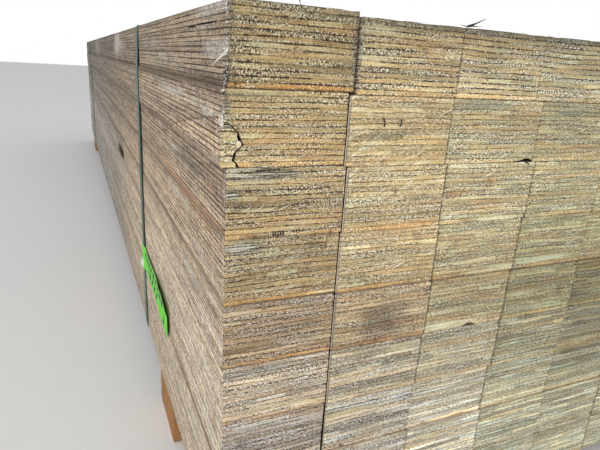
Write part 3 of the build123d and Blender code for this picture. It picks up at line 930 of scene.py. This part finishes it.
def inner_growth(layer, joint, boxes):
    """How far the sides at a joint stand out, in mm, so that it looks tight and even."""
    if joint < 1 or joint >= len(boxes):
        return 0.0
    gap = (boxes[joint][0][0] - boxes[joint - 1][1][0]) / MM
    width = OPEN_JOINTS.get((layer, joint), JOINT_WIDTHS[min(joint, len(JOINT_WIDTHS)) - 1])
    return (gap - width) / 2 + MEAN_SIDE


def beam_offset(seed):
    """Moves the pattern of each beam to a place of its own, in metres."""
    return np.array([seed * 0.37 % 2.9, 0.0, seed * 0.29 % 3.1])


def add_beam(mesh, boxes, layer, column):
    """One beam, worn, sawn and damaged, from its box in the frame."""
    seed = layer * 40 + column
    last = len(boxes) - 1
    low, high = np.array(boxes[column][0]) / MM, np.array(boxes[column][1]) / MM
    width, length, tall = high - low
    section = FINE_SECTION if column < FINE_COLUMNS else PLAIN_SECTION
    if (layer, column) == (LAYERS, 0):
        section = CORNER_SECTION
    stations = beam_stations(layer, column, last, length)
    u, q, s, on_ring = section.points(stations)
    u = u * width / BEAM_WIDTH
    move_left, move_right = joint_shift(layer, column, last), joint_shift(layer, column + 1, last)

    # Veneers wander a little up and down through the beam
    drift = 0.9 * wave(u / 26 + s / 170, q * 0.35, seed + 11) * np.sin(np.pi * q / VENEERS)
    v = q * tall / VENEERS + drift

    # Worn corners, an open joint at each end, and uneven sides
    to_end = np.minimum(s, length - s)
    at_left, at_right = on_ring & (u < TINY), on_ring & (u > width - TINY)
    at_floor, at_top = on_ring & (q < TINY), on_ring & (q > VENEERS - TINY)
    veneer = np.floor(np.clip(q, 0, VENEERS - TINY))
    to_line = np.abs(q - np.round(q)) * tall / VENEERS
    side = 0.02 + 0.07 * by_veneer(veneer, seed + 21) + 0.03 * (1 + wave(s / 90, veneer * 2.3, seed + 22))
    side += 0.1 * np.exp(-(to_line / 0.5) ** 2)
    side += 0.22 * np.exp(-to_end / 1.5) * over(wave(q * 1.3, s * 0 + 3.3, seed + 23), 0.0)
    crevice = np.exp(-to_end / 4.0) * (0.03 + 0.3 * over(wave(u / 9, s * 0, seed + 24), -0.1))
    on_top = 1.5 + 1.5 * over(wave(u / 3, s, seed + 27), 0.2)
    crevice = crevice * (0.5 + (layer == LAYERS) * (q > VENEERS - TINY) * on_top)
    flat = 0.01 + 0.03 * (1 + wave(s / 120, u / 25, seed + 25)) + crevice
    corner = 0.16 * ARRIS * (1 + 0.5 * wave(s / 60, u / 50 + q, seed + 26))
    left_growth, right_growth = (inner_growth(layer, joint, boxes) for joint in (column, column + 1))
    corner = corner * ((at_left | at_right) & (at_floor | at_top))
    x = u + inward(at_left, at_right, side - left_growth, side - right_growth)
    x = x + inward(at_left, at_right, corner) + move_left + (move_right - move_left) * u / width
    z = v + inward(at_floor, at_top, flat + corner)

    # The two ends
    near_end, far_end = s < TINY, s > length - TINY
    relief = np.zeros(len(u))
    relief[near_end] = end_relief(u[near_end], q[near_end], width, seed)
    relief[far_end] = end_relief(width - u[far_end], q[far_end], width, seed + 500)

    # Damage
    marks = beam_marks(layer, column, u, q, s, seed)
    place = np.column_stack([u, s, v]) * MM + beam_offset(seed)
    if (layer, column) == (LAYERS, 0):
        x = x + 2.2 * (q / VENEERS) ** 1.5 * np.exp(-s / 60) * np.clip(1 - u / 30, 0, 1)
    if (layer, column) == (SPLIT_LAYER, 0):
        depth = crack_depth(z, s)
        x = x + depth * np.clip(1 - u / 30, 0, 1)
        # Painted shade on the crack's inner side
        marks[at_left & (depth > 0.4) & (s > 2), DARK] = 1
    for slot_layer, slot_s, slot_q, half_s, half_q, slot_depth in SLOTS:
        if (layer, column) == (slot_layer, 0):
            hollow = 1 - ((s - slot_s) / half_s) ** 2 - ((q - slot_q) / half_q) ** 4
            hollow = np.clip(hollow, 0, 1) * at_left * (1 + 0.4 * wave(s / 9, q, seed + 31))
            x = x + slot_depth * hollow
            # Painted shade inside the slots, nearly black at their depth
            marks[:, DARK] = np.maximum(marks[:, DARK], np.clip(hollow * 6, 0, 1.75))
    for chip_layer, chip_column, chip_u, left, right, chip_height in CHIPS:
        if (layer, column) == (chip_layer, chip_column):
            away = np.where(u < chip_u, (chip_u - u) / left, (u - chip_u) / right)
            lifted = chip_height * np.clip(1 - away, 0, 1) ** 0.7 * (s < CHIP_DEPTH)
            # Painted shade in the hollow under the chip, nearly black
            marks[(z < lifted - 0.05) & (q < TINY), DARK] = 2.0
            z = np.maximum(z, lifted)
    points = placed(low, x, s + inward(near_end, far_end, relief), z)
    tones = point_tones(layer, column, q, to_end)
    mesh.add(points, *section.faces(len(stations)), place, q, seed, tones, marks,
             beam_tint(layer, column), beam_finish(layer, column))


WEDGE_SECTION = Section(np.linspace(0, 1, 9), np.linspace(0, 1, 36))


def add_wedge(mesh, box, layer):
    """The loose piece of the split corner, bent outwards."""
    low, high = np.array(box[0]) / MM, np.array(box[1]) / MM
    tall = high[2] - low[2]
    seed = layer * 40 + 17
    stations = np.concatenate([[0, 1.5, 4], np.linspace(9, CRACK_LENGTH, 20)])
    share, lift, s, on_ring = WEDGE_SECTION.points(stations)
    closing = np.clip(1 - s / CRACK_LENGTH, 0, 1)
    v = lift * CRACK[0, 1] * np.maximum(closing, 0.01) ** 0.7
    q = v / tall * VENEERS
    away = WEDGE_OUT * closing ** 1.3
    ragged = (0.3 * wave(q * 1.7, s / 14, seed + 1) + 0.3 * wave(q * 4.1, s / 7, seed + 7)) * closing
    gap = np.interp(v, *np.transpose(CRACK_GAPS))
    right = crack_depth(v, s) + (WEDGE_OUT - gap) * closing + ragged
    left = 0.25 * (1 + wave(q * 1.1, s / 30, seed + 2)) * closing
    u = left + np.maximum(right - left, 0.02) * share
    x = u - away
    near = s < TINY
    veneer = np.floor(q)
    step = 1.1 * by_veneer(veneer, seed) + 0.9 * over(wave(u / 3, q * 1.5, seed + 3), 0.1)
    y = s + np.where(near, 0.2 + step * 0.7, 0)
    z = v + 0.5 * wave(u / 5, q, seed + 4) * (lift > TINY) * (lift < 1 - TINY)
    z = z + np.where(lift < TINY, 0.25, 0)
    place = np.column_stack([u, s, v + 0.25 * np.sin(u / 2.2)]) * MM + beam_offset(seed)
    marks = np.zeros((len(u), 4))
    marks[:, PALE] = 0.75 * near * over(wave(u / 3, q * 1.9, seed + 6), -0.8) * (lift < WEDGE_GREY)
    marks[:, GREY] = 0.95 * near * (lift > WEDGE_GREY)
    marks[:, DARK] = 0.8 * near * over(wave(u / 5, q * 2.6, seed + 8), 0.15)
    # Painted shade on the wedge's side that faces into the crack
    marks[on_ring & (share > 1 - TINY) & (s > 2), DARK] = 1
    _, bright, warm = beam_tone(layer, 0)
    veneers = q + 0.12 * wave(u / 4, q, seed + 5) * near
    mesh.add(placed(low, x, y, z), *WEDGE_SECTION.faces(len(stations)), place, veneers, seed,
             (0.3, bright * 1.12, warm), marks, (1.0, 1.05, 1.06), (1.35, 0.8, 0.0))
    add_knot(mesh, low, seed, (0.0, 1.1, 1.0))


def add_knot(mesh, corner, seed, tone):
    """A small rounded plug that stands out of the end beside the crack."""
    across, up, half_u, half_v = KNOT
    points, rings, turns = [(across, -0.9, up)], 4, 10
    for ring in range(1, rings + 1):
        reach = math.sin(ring / rings * math.pi / 2)
        for turn in range(turns):
            angle = turn * math.tau / turns
            bulge = 1 + 0.1 * math.sin(3 * angle + 1.0)
            points.append((across + half_u * reach * bulge * math.cos(angle),
                           -0.9 * math.cos(ring / rings * math.pi / 2),
                           up + half_v * reach * bulge * math.sin(angle)))
    for turn in range(turns):
        angle = turn * math.tau / turns
        points.append((across + half_u * math.cos(angle), 4.0, up + half_v * math.sin(angle)))
    faces = [(0, 1 + turn, 1 + (turn + 1) % turns) for turn in range(turns)]
    for ring in range(rings):
        for turn in range(turns):
            a, b = 1 + ring * turns + turn, 1 + ring * turns + (turn + 1) % turns
            faces.append((a, a + turns, b + turns, b))
    faces.append(tuple(1 + rings * turns + turn for turn in range(turns)))
    points = np.array(points)
    marks = np.zeros((len(points), 4))
    marks[1 + (rings - 1) * turns:, DARK] = 1.0
    marks[:1 + (rings - 2) * turns, GREY] = 0.75
    mesh.add((points + corner) * MM, faces, [FIBRES] * len(faces), points * MM, 0.5, seed, tone, marks)


def add_splinter(mesh, base, tip, width, sag=0.0, dark=0.0, seed=0):
    """A thin fibre with a three-sided section that tapers from base to tip, in metres."""
    base, tip = Vector(base), Vector(tip)
    along = (tip - base).normalized()
    side = along.orthogonal().normalized()
    other = along.cross(side)
    points, steps = [], (0, 0.35, 0.7, 1)
    for share in steps:
        middle = base.lerp(tip, share) + Vector((0, 0, -sag * share * share * (tip - base).length))
        radius = width * MM * (0.5 - 0.42 * share)
        for turn in range(3):
            angle = turn * math.tau / 3 + share * 1.2
            points.append(middle + radius * (side * math.cos(angle) + other * math.sin(angle)))
    faces = [(0, 2, 1), (9, 10, 11)]
    for ring in range(3):
        for turn in range(3):
            a, b = ring * 3 + turn, ring * 3 + (turn + 1) % 3
            faces.append((a, b, b + 3, a + 3))
    points = np.array([tuple(p) for p in points])
    marks = np.tile((dark, 0, 0, 0), (len(points), 1))
    mesh.add(points, faces, [FIBRES] * len(faces), points, 0.5, seed, (0.5, 1.0, 0.5), marks)


def unit(vector):
    return vector / np.linalg.norm(vector)


def add_fringe(mesh, boxes, layer, rng):
    """Small torn fibres along the rims of the near and far ends, more at the left corner."""
    for column, (low, high) in enumerate(boxes):
        for end in (0, 1):
            face_y, out = (low[1], -1) if end == 0 else (high[1], 1)
            for _ in range(11 if column < 2 else 6):
                across = rng.uniform(0.002, 0.076)
                height = rng.choice([0.0, 1.0, rng.uniform(0.1, 0.9)], p=[0.4, 0.3, 0.3])
                base = np.array([low[0] + across, face_y + out * -0.0006,
                                 low[2] + 0.0012 + height * (high[2] - low[2] - 0.0024)])
                reach = rng.uniform(0.0012, 0.0045)
                lean = np.array([rng.normal(0, 1.0), out * rng.uniform(0.25, 0.7), rng.normal(0, 0.35)])
                add_splinter(mesh, base, base + unit(lean) * reach, rng.uniform(0.22, 0.5),
                             rng.uniform(0, 0.2), rng.choice([0, 0.2, 0.8], p=[0.6, 0.2, 0.2]), layer)
    low, high = boxes[0]
    for _ in range(16):
        height = rng.uniform(0, 1)
        base = np.array([low[0] + 0.0003, low[1] + rng.uniform(0.0, 0.004),
                         low[2] + height * (high[2] - low[2])])
        lean = np.array([-rng.uniform(0.1, 0.6), -rng.uniform(-0.3, 0.7), rng.normal(0, 0.9)])
        add_splinter(mesh, base, base + unit(lean) * rng.uniform(0.0015, 0.0042), rng.uniform(0.25, 0.6),
                     0.1, rng.choice([0, 0.85], p=[0.8, 0.2]), layer)


def make_layer(layer, materials):
    """All beams of one layer, with their splinters, as one mesh."""
    boxes = beam_boxes(f"beam_layer_{layer}")
    mesh = TimberMesh()
    usual = np.median([box[0][1] for box in boxes])
    for column, box in enumerate(boxes):
        if column > 1:
            box[0][1] = usual + LEVELLED * (box[0][1] - usual)
        elif column:
            least = PROUD_RANGE[0] if row_of(layer) <= PROUD_ROWS else LEAST_PROUD
            proud = (boxes[0][0][1] - box[0][1]) / MM
            box[0][1] = boxes[0][0][1] - np.clip(proud, least, PROUD_RANGE[1]) * MM
        add_beam(mesh, boxes, layer, column)
    if layer == SPLIT_LAYER:
        add_wedge(mesh, boxes[0], layer)
    add_fringe(mesh, boxes, layer, np.random.default_rng(layer))
    add_loose_fibres(mesh, boxes, layer)
    add_piece(mesh.build(f"laminated_beams_{layer}", materials), f"beam_layer_{layer}")


# Single splinters and wires: layer, column, start and end in mm (across, along, up), width, sag, darkness
LOOSE_FIBRES = [
    (9, 0, (-0.2, 0.5, 19.8), (-3.2, 23, 10.7), 2.0, 0.0, 0),     # the long straw on the left side
    (9, 0, (-0.2, 3, 19), (-1.6, 15, 17), 0.9, 0.0, 0), (9, 0, (0, 2, 21), (-1.2, 9, 20), 0.8, 0.0, 0),
    (9, 0, (0, 1, 18), (-1.2, 8, 17), 0.8, 0.1, 0), (9, 0, (0.3, 1, 20), (-0.9, 5, 22.5), 0.8, 0.1, 0),
    (9, 0, (42.4, 0.5, 44.8), (40.2, -0.6, 48.4), 0.9, 0, 1.1),
    (9, 0, (40.6, -0.6, 47.6), (40.0, -1.2, 53), 0.8, 0, 1.1),
    (9, 2, (1, 0, 45.6), (9, -2, 48.6), 1.7, 0.0, 1.2),
    (9, 2, (4, -1, 46.6), (13, -3, 50.2), 1.5, -0.1, 1.2),
    (9, 2, (2, 0, 45.8), (12, -1, 46.8), 1.3, 0.1, 1.1), (9, 2, (3, 1, 45.4), (-2, 4, 46.6), 1.0, 0.0, 1.0),
    (8, 1, (25.4, -1.0, 26.2), (24.0, -1.2, 31.0), 1.5, 0, 1.0),
    (8, 1, (24.0, -1.2, 31.0), (25.4, -1.0, 26.2), 1.5, 0, 1.0),
    (8, 1, (37.2, -1.0, 26.2), (37.5, -1.2, 31.0), 1.5, 0, 1.0),
    (8, 1, (37.5, -1.2, 31.0), (37.2, -1.0, 26.2), 1.5, 0, 1.0),
    (8, 2, (76, -0.3, 0.8), (82, -0.3, -2.8), 1.5, 0, 1.2),
    (8, 2, (74, -0.2, -0.4), (64, -0.2, -1.2), 1.6, 0, 0),
    (9, 0, (-0.1, 189, 11.0), (-0.1, 189.5, 15.6), 0.9, 0, 0.9),
    (9, 0, (-0.1, 94, 1.0), (-0.1, 94.5, 6.9), 0.8, 0, 0.9),
    (9, 0, (-0.1, 65, 23.8), (-0.1, 65.4, 27.8), 0.7, 0, 0.9),
    (9, 0, (-0.1, 310, 21.0), (-0.1, 311, 27.6), 1.0, 0, 0.9),
    (8, 0, (-0.1, 250, 14.0), (-0.1, 251, 20.6), 1.0, 0, 0.8),
    (7, 0, (-0.1, 210, 31.3), (-0.1, 211, 34.6), 0.9, 0, 0.8),
    (8, 0, (-2.4, 5, 21.5), (-3.0, 8, 19), 0.8, 0.0, 0),
    (7, 0, (3.4, -0.3, 20.1), (4.8, -0.5, 22.2), 0.7, 0, 0.1),
    (7, 0, (11.6, -0.3, 18.4), (16.2, -0.5, 21.9), 0.8, 0, 0),
    (7, 0, (19.2, -0.3, 18.2), (23.8, -0.5, 21.5), 0.8, 0, 0),
    (7, 0, (27.8, -0.3, 18.2), (33.8, -0.5, 21.7), 0.7, 0, 0.1),
    (7, 0, (34.0, -0.3, 18.0), (41.0, -0.5, 21.3), 0.8, 0, 0),
    (7, 0, (45.5, -0.3, 17.9), (49.2, -0.5, 19.6), 0.7, 0, 0.1),
]
for n in range(5):
    LOOSE_FIBRES.append((7, 0, (31.2 + 1.7 * n, -0.1, 1.0 + 0.4 * (n % 2)),
                         (30.4 + 1.7 * n, -0.3, 4.9 - 0.5 * (n % 3)), 1.5, 0, 1.1))

# Crumpled shreds along the near left corner: layer, height in mm, how many, spread in mm, share of dark
# ones, reach in mm, distance of their roots from the side in mm
SHREDS = [(9, 6.0, 110, 6.5, 0.74, 2.6, 0.1), (8, 43.0, 24, 4.5, 0.6, 2.2, 0.1),
          (9, 43.5, 60, 9.0, 0.35, 2.2, 0.1), (8, 27.0, 70, 4.5, 0.04, 2.4, 1.3)]


def add_loose_fibres(mesh, boxes, layer):
    """The single fibres and the shreds of one layer."""
    for at_layer, column, start, end, width, sag, dark in LOOSE_FIBRES:
        if at_layer == layer:
            corner = Vector(boxes[column][0])
            add_splinter(mesh, corner + Vector(start) * MM, corner + Vector(end) * MM,
                         width, sag, dark, layer)
    low, high = np.array(boxes[0][0]), np.array(boxes[0][1])
    for number, (at_layer, height, count, spread, darks, reach, out) in enumerate(SHREDS):
        rng = np.random.default_rng(90 + number)
        for _ in range(count if at_layer == layer else 0):
            root = (-out * rng.uniform(0.6, 1.0), rng.uniform(-0.2, 0.75 * spread),
                    height + rng.normal(0, 0.35 * spread))
            base = low + np.array(root) * MM
            base[2] = min(max(base[2], low[2] + 0.0005), high[2] - 0.0005)
            lean = np.array([-rng.uniform(0.2, 0.9), rng.normal(0, 0.8), rng.normal(0, 0.8)])
            tip = base + unit(lean) * rng.uniform(0.3, 1.0) * reach * MM
            dark = 0.95 * (rng.uniform() < darks)
            add_splinter(mesh, base, tip, rng.uniform(0.5, 1.4) * (1.7 if darks < 0.2 else 1.0),
                         rng.uniform(0, 0.6), dark, layer)


def fibre_material():
    """Torn fibres: pale, some golden, some dark."""
    t = Nodes("torn_fibres")
    x, y, z = t.place()
    dark, golden, _ = t.parts("marks")
    grain = t.noise(x * 0.9, y * 0.9, z * 0.9, 3.0, 0.7)
    t.color = t.mix(t.band(grain, 0.3, 0.7), (0.7, 0.65, 0.54), (0.93, 0.91, 0.84))
    t.cover(golden, (0.85, 0.64, 0.33))
    t.cover(dark, (0.045, 0.033, 0.027))
    return t.finish(0.8, grain, 0.0003, strength=0.7, specular=0.3)


# Bearers

BEARER_SECTION = Section(np.linspace(0, 1, 13), np.linspace(0, 1, 8))


def make_bearer(node, material, seed):
    """A rough-sawn length of pine across the pack."""
    low, high = (np.array(corner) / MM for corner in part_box(node))
    size = high - low
    stations = np.concatenate([[0, 1.5], np.linspace(12, size[0] - 12, 70), [size[0] - 1.5, size[0]]])
    a, b, s, on_ring = BEARER_SECTION.points(stations)
    to_end = np.minimum(s, size[0] - s)
    across, up = a * size[1], b * size[2]
    rough = 0.25 + 0.22 * wave(s / 5, (across + up) / 14, seed)
    rough = rough + 0.35 * over(wave(s / 40, across / 20 + up / 9, seed + 1), 0.2)
    corner = 1.2 + 0.7 * wave(s / 45, across / 60 + up / 30, seed + 2)
    at_left, at_right = on_ring & (a < TINY), on_ring & (a > 1 - TINY)
    at_floor, at_top = on_ring & (b < TINY), on_ring & (b > 1 - TINY)
    both = (at_left | at_right) & (at_floor | at_top)
    move = np.where(both, rough + corner, rough)
    y = across + inward(at_left, at_right, move)
    z = up + inward(at_floor, at_top, move * both, move * both + 0.05)
    ragged = 0.3 + 0.25 * wave(across / 4, up / 4, seed + 3) + 0.45 * on_ring
    sunk = np.where(to_end < TINY, ragged, 0)
    x = s + np.where(s < size[0] / 2, sunk, -sunk)
    faces, _ = BEARER_SECTION.faces(len(stations))
    obj = new_object(node + "_timber", placed(low, x, y, z), [face[::-1] for face in faces], [material])
    set_attribute(obj, "place", np.column_stack([s, across, up]) * MM + seed * 0.11)
    add_piece(obj, node)


def bearer_material():
    """Sawn pine whose heart lies below the piece: rings on the ends, long figure on the sides."""
    t = Nodes("sawn_pine")
    along, across, up = t.place()
    wander = t.noise(along * 0.0035, across * 0.02, up * 0.02)
    a = across + wander * 26.0
    b = up + 38.0
    radius = t.math("SQRT", a * a + b * b) + t.noise(along * 0.006, across * 0.05, up * 0.05, 3.0) * 5.0
    rings = t.math("FRACT", radius / 2.6)
    late = t.band(rings, 0.45, 0.92) * t.band(rings, 1.0, 0.95)
    t.color = t.mix(late, (0.46, 0.228, 0.09), (0.325, 0.145, 0.052))
    fine = t.noise(along * 0.03, across * 1.4, up * 1.4, 4.0, 0.7)
    t.light(fine, 0.3, 0.7, 0.76, 1.22)
    saw = t.noise(along * 0.55, across * 0.03, up * 0.03, 2.0, 0.6)
    t.light(saw, 0.3, 0.7, 0.86, 1.12)
    dust = t.noise(along * 0.02, across * 0.04, up * 0.04, 4.0, 0.7)
    t.cover(t.band(dust, 0.5, 0.7) * 0.5, (0.2, 0.145, 0.1))
    relief = saw * 0.8 + fine * 0.5
    return t.finish(0.85, relief, 0.0006, specular=0.25)


# Straps and label

def strap_material():
    """Green polyester band with an embossed diamond pattern, dusty scuffs and painted sheen in stretches
    along it.
    """
    t = Nodes("polyester_band")
    x, y, z = t.object_place(PER_METRE)
    along = x + z
    emboss = t.math("SINE", (along + y) * 1.9) * t.math("SINE", (along - y) * 1.9)
    scuffs = t.noise(along * 0.05, y * 1.6, 0.0, 4.0, 0.7)
    sheen_stretches = t.noise(along * 0.012, 0.0, 4.0, 2.0, 0.6)
    t.color = t.mix(t.band(scuffs, 0.35, 0.65), (0.022, 0.062, 0.047), (0.048, 0.088, 0.074))
    t.cover(t.band(scuffs, 0.6, 0.72) * 0.5, (0.19, 0.22, 0.21))
    # Painted sheen and shade: lighter and darker stretches along the band
    t.light(sheen_stretches, 0.35, 0.65, 0.75, 1.5)
    t.light(emboss, -0.8, 0.8, 0.86, 1.12)
    return t.finish(t.band(scuffs, 0.3, 0.7, 0.33, 0.55), emboss, 0.00025, strength=0.7)


def label_material():
    """Bright green card with generic ruled fields, a painted highlight along its long edges and a painted
    white glint near one end.
    """
    t = Nodes("green_card")
    along, up, _ = t.parts("place")
    row_share = t.math("FRACT", up * 2.0)
    pick = t.random(t.math("FLOOR", along * 11.0), t.math("FLOOR", up * 2.0), 1.0)
    strokes = t.math("SINE", (up * 0.14 + along) * 74.0)
    rules = t.math("SINE", up * 43.0) * t.band(pick[1], 0.3, 0.5)
    strokes = t.band(t.math("MAXIMUM", strokes, rules), 0.0, 0.35)
    bar = t.band(row_share, 0.08, 0.14) * t.band(row_share, 0.92, 0.86)
    inside = t.band(along, 0.12, 0.14) * t.band(along, 0.88, 0.86)
    inside = inside * t.band(up, 0.1, 0.12) * t.band(up, 0.9, 0.88)
    printed = bar * strokes * inside * (pick[0] > 0.12)
    fibres = t.noise(along * 260.0, up * 60.0, 0.0, 3.0, 0.6)
    t.color = t.mix(t.band(fibres, 0.3, 0.7), (0.13, 0.66, 0.03), (0.2, 0.82, 0.06))
    t.cover(printed, (0.006, 0.04, 0.012))
    # Painted highlights: a pale rim along the long edges and a white glint near the end on the strap
    t.cover(t.band(abs(up - 0.5), 0.485, 0.5) * 0.5, (0.62, 0.8, 0.55))
    t.cover(t.band(up, 0.6, 0.72) * t.band(along, 0.11, 0.07), (0.8, 0.86, 0.78))
    crease = t.noise(along * 9.0, up * 3.0, 0.0)
    return t.finish(0.5, fibres + crease * 4.0, 0.0003, strength=0.5, specular=0.2)


def make_label(material):
    """A card that waves off the timber and climbs onto the strap."""
    low, high = (np.array(corner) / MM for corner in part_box("label_card"))
    columns, rows = 49, 13
    thickness = 0.35
    strap_near, strap_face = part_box("front_strap")[0].y / MM - 5, low[0]
    back = high[0] - 0.05
    points, shares = [], []
    for side in (0, 1):
        for i in range(columns):
            for j in range(rows):
                along, up = i / (columns - 1), j / (rows - 1)
                y = low[1] + along * (high[1] - low[1])
                climb = min(max((y - strap_near) / 6, 0), 1)
                lift = (back - strap_face - thickness) * ease(climb)
                bulge = math.exp(-((along - 0.22) / 0.16) ** 2) * up * up
                arch = math.sin(math.pi * min(1, along * 1.1))
                wavy = 1.6 * bulge + 0.6 * (1 + math.sin(along * 9.0 + up * 1.6)) * arch * (0.3 + up)
                curl = 2.6 * max(0, up - 0.75) / 0.25 * (1 - along) ** 2 + 1.6 * max(0, 0.15 - along) / 0.15
                waist = 9.0 * ease((along - 0.15) / 0.4) * (1 - up)
                folded = 3.2 * max(0, along - 0.88) / 0.12 * max(0, 0.45 - up) / 0.45
                x = back - lift - (wavy + curl) * (1 - climb * 0.8) - side * thickness - folded
                nip = max(0, 0.12 - along) / 0.12 * (5.0 - 9.0 * up)
                z = low[2] + up * (high[2] - low[2]) + waist + nip
                z = z + 2.0 * bulge + 0.4 * math.sin(along * 23)
                points.append((x * MM, y * MM, z * MM))
                shares.append((1 - along, 1 - up, 0))
    faces = []
    sheet = columns * rows
    for i in range(columns - 1):
        for j in range(rows - 1):
            a = i * rows + j
            quad = (a, a + rows, a + rows + 1, a + 1)
            faces.append(quad)
            faces.append(tuple(n + sheet for n in quad[::-1]))
    rim = [i * rows for i in range(columns)] + [(columns - 1) * rows + j for j in range(1, rows)]
    rim += [i * rows + rows - 1 for i in range(columns - 2, -1, -1)] + list(range(rows - 2, 0, -1))
    for a, b in zip(rim, rim[1:] + rim[:1]):
        faces.append((b, a, a + sheet, b + sheet))
    obj = new_object("green_label", points, faces, [material], smooth=True)
    set_attribute(obj, "place", shares)
    add_piece(obj, "label_card")


# Camera, light and ground

def make_camera():
    """A camera near the upper left corner of the pack, turned as in the photo."""
    low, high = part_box("front_bearer")
    corner = Vector((low.x, (low.y + high.y) / 2 - BEARER_INSET, ORDINARY_TOP))
    heading, pitch, roll = (math.radians(a) for a in (CAMERA_HEADING, CAMERA_PITCH, CAMERA_ROLL))
    turn = Matrix.Rotation(-heading, 4, "Z") @ Matrix.Rotation(math.pi / 2 + pitch, 4, "X")
    turn = turn @ Matrix.Rotation(roll, 4, "Z")
    camera = bpy.data.objects.new("camera", bpy.data.cameras.new("camera"))
    camera.matrix_world = Matrix.Translation(corner + CAMERA_OFFSET) @ turn
    camera.data.lens = CAMERA_LENS
    camera.data.clip_start = CAMERA_CLIP
    bpy.context.scene.collection.objects.link(camera)
    bpy.context.scene.camera = camera


def make_world():
    """A white background that lights the pack more softly than it looks."""
    world = bpy.data.worlds.new("studio")
    bpy.context.scene.world = world
    world.use_nodes = True
    nodes, links = world.node_tree.nodes, world.node_tree.links
    background = nodes["Background"]
    background.inputs["Color"].default_value = (1.0, 1.0, 1.0, 1.0)
    path = nodes.new("ShaderNodeLightPath")
    seen = nodes.new("ShaderNodeMath")
    seen.operation = "MAXIMUM"
    links.new(path.outputs["Is Camera Ray"], seen.inputs[0])
    links.new(path.outputs["Is Glossy Ray"], seen.inputs[1])
    strength = nodes.new("ShaderNodeMapRange")
    strength.inputs["To Min"].default_value = WORLD_LIGHT
    strength.inputs["To Max"].default_value = 1.0
    links.new(seen.outputs[0], strength.inputs["Value"])
    links.new(strength.outputs[0], background.inputs["Strength"])


def add_lamp(name, place, aim, size, power):
    """A square lamp that shines on a point."""
    lamp = bpy.data.objects.new(name, bpy.data.lights.new(name, "AREA"))
    lamp.data.size = size
    lamp.data.energy = power
    lamp.location = place
    lamp.rotation_euler = (Vector(aim) - Vector(place)).to_track_quat("-Z", "Y").to_euler()
    bpy.context.scene.collection.objects.link(lamp)


def make_ground():
    """A plain pale floor."""
    t = Nodes("pale_floor")
    speckle = t.noise(*t.object_place(35.0), 4.0, 0.6)
    t.color = t.mix(speckle, (0.8, 0.8, 0.8), (0.85, 0.85, 0.85))
    corners = [(x * FLOOR_HALF, y * FLOOR_HALF, 0) for x, y in ((-1, -1), (1, -1), (1, 1), (-1, 1))]
    floor = new_object("floor", corners, [(0, 1, 2, 3)], [t.finish(0.8)])


timber = [end_material(), edge_material(), face_material(), fibre_material()]
for layer_number in range(1, LAYERS + 1):
    make_layer(layer_number, timber)
pine = bearer_material()
make_bearer("front_bearer", pine, 3)
make_bearer("rear_bearer", pine, 8)
make_label(label_material())
band = strap_material()
for strap_node in ("front_strap", "rear_strap"):
    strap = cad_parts[strap_node]
    strap.data.materials.clear()
    strap.data.materials.append(band)
make_camera()
make_world()
make_ground()
for lamp_values in LAMPS:
    add_lamp(*lamp_values)

bpy.context.scene.view_settings.view_transform = "Standard"
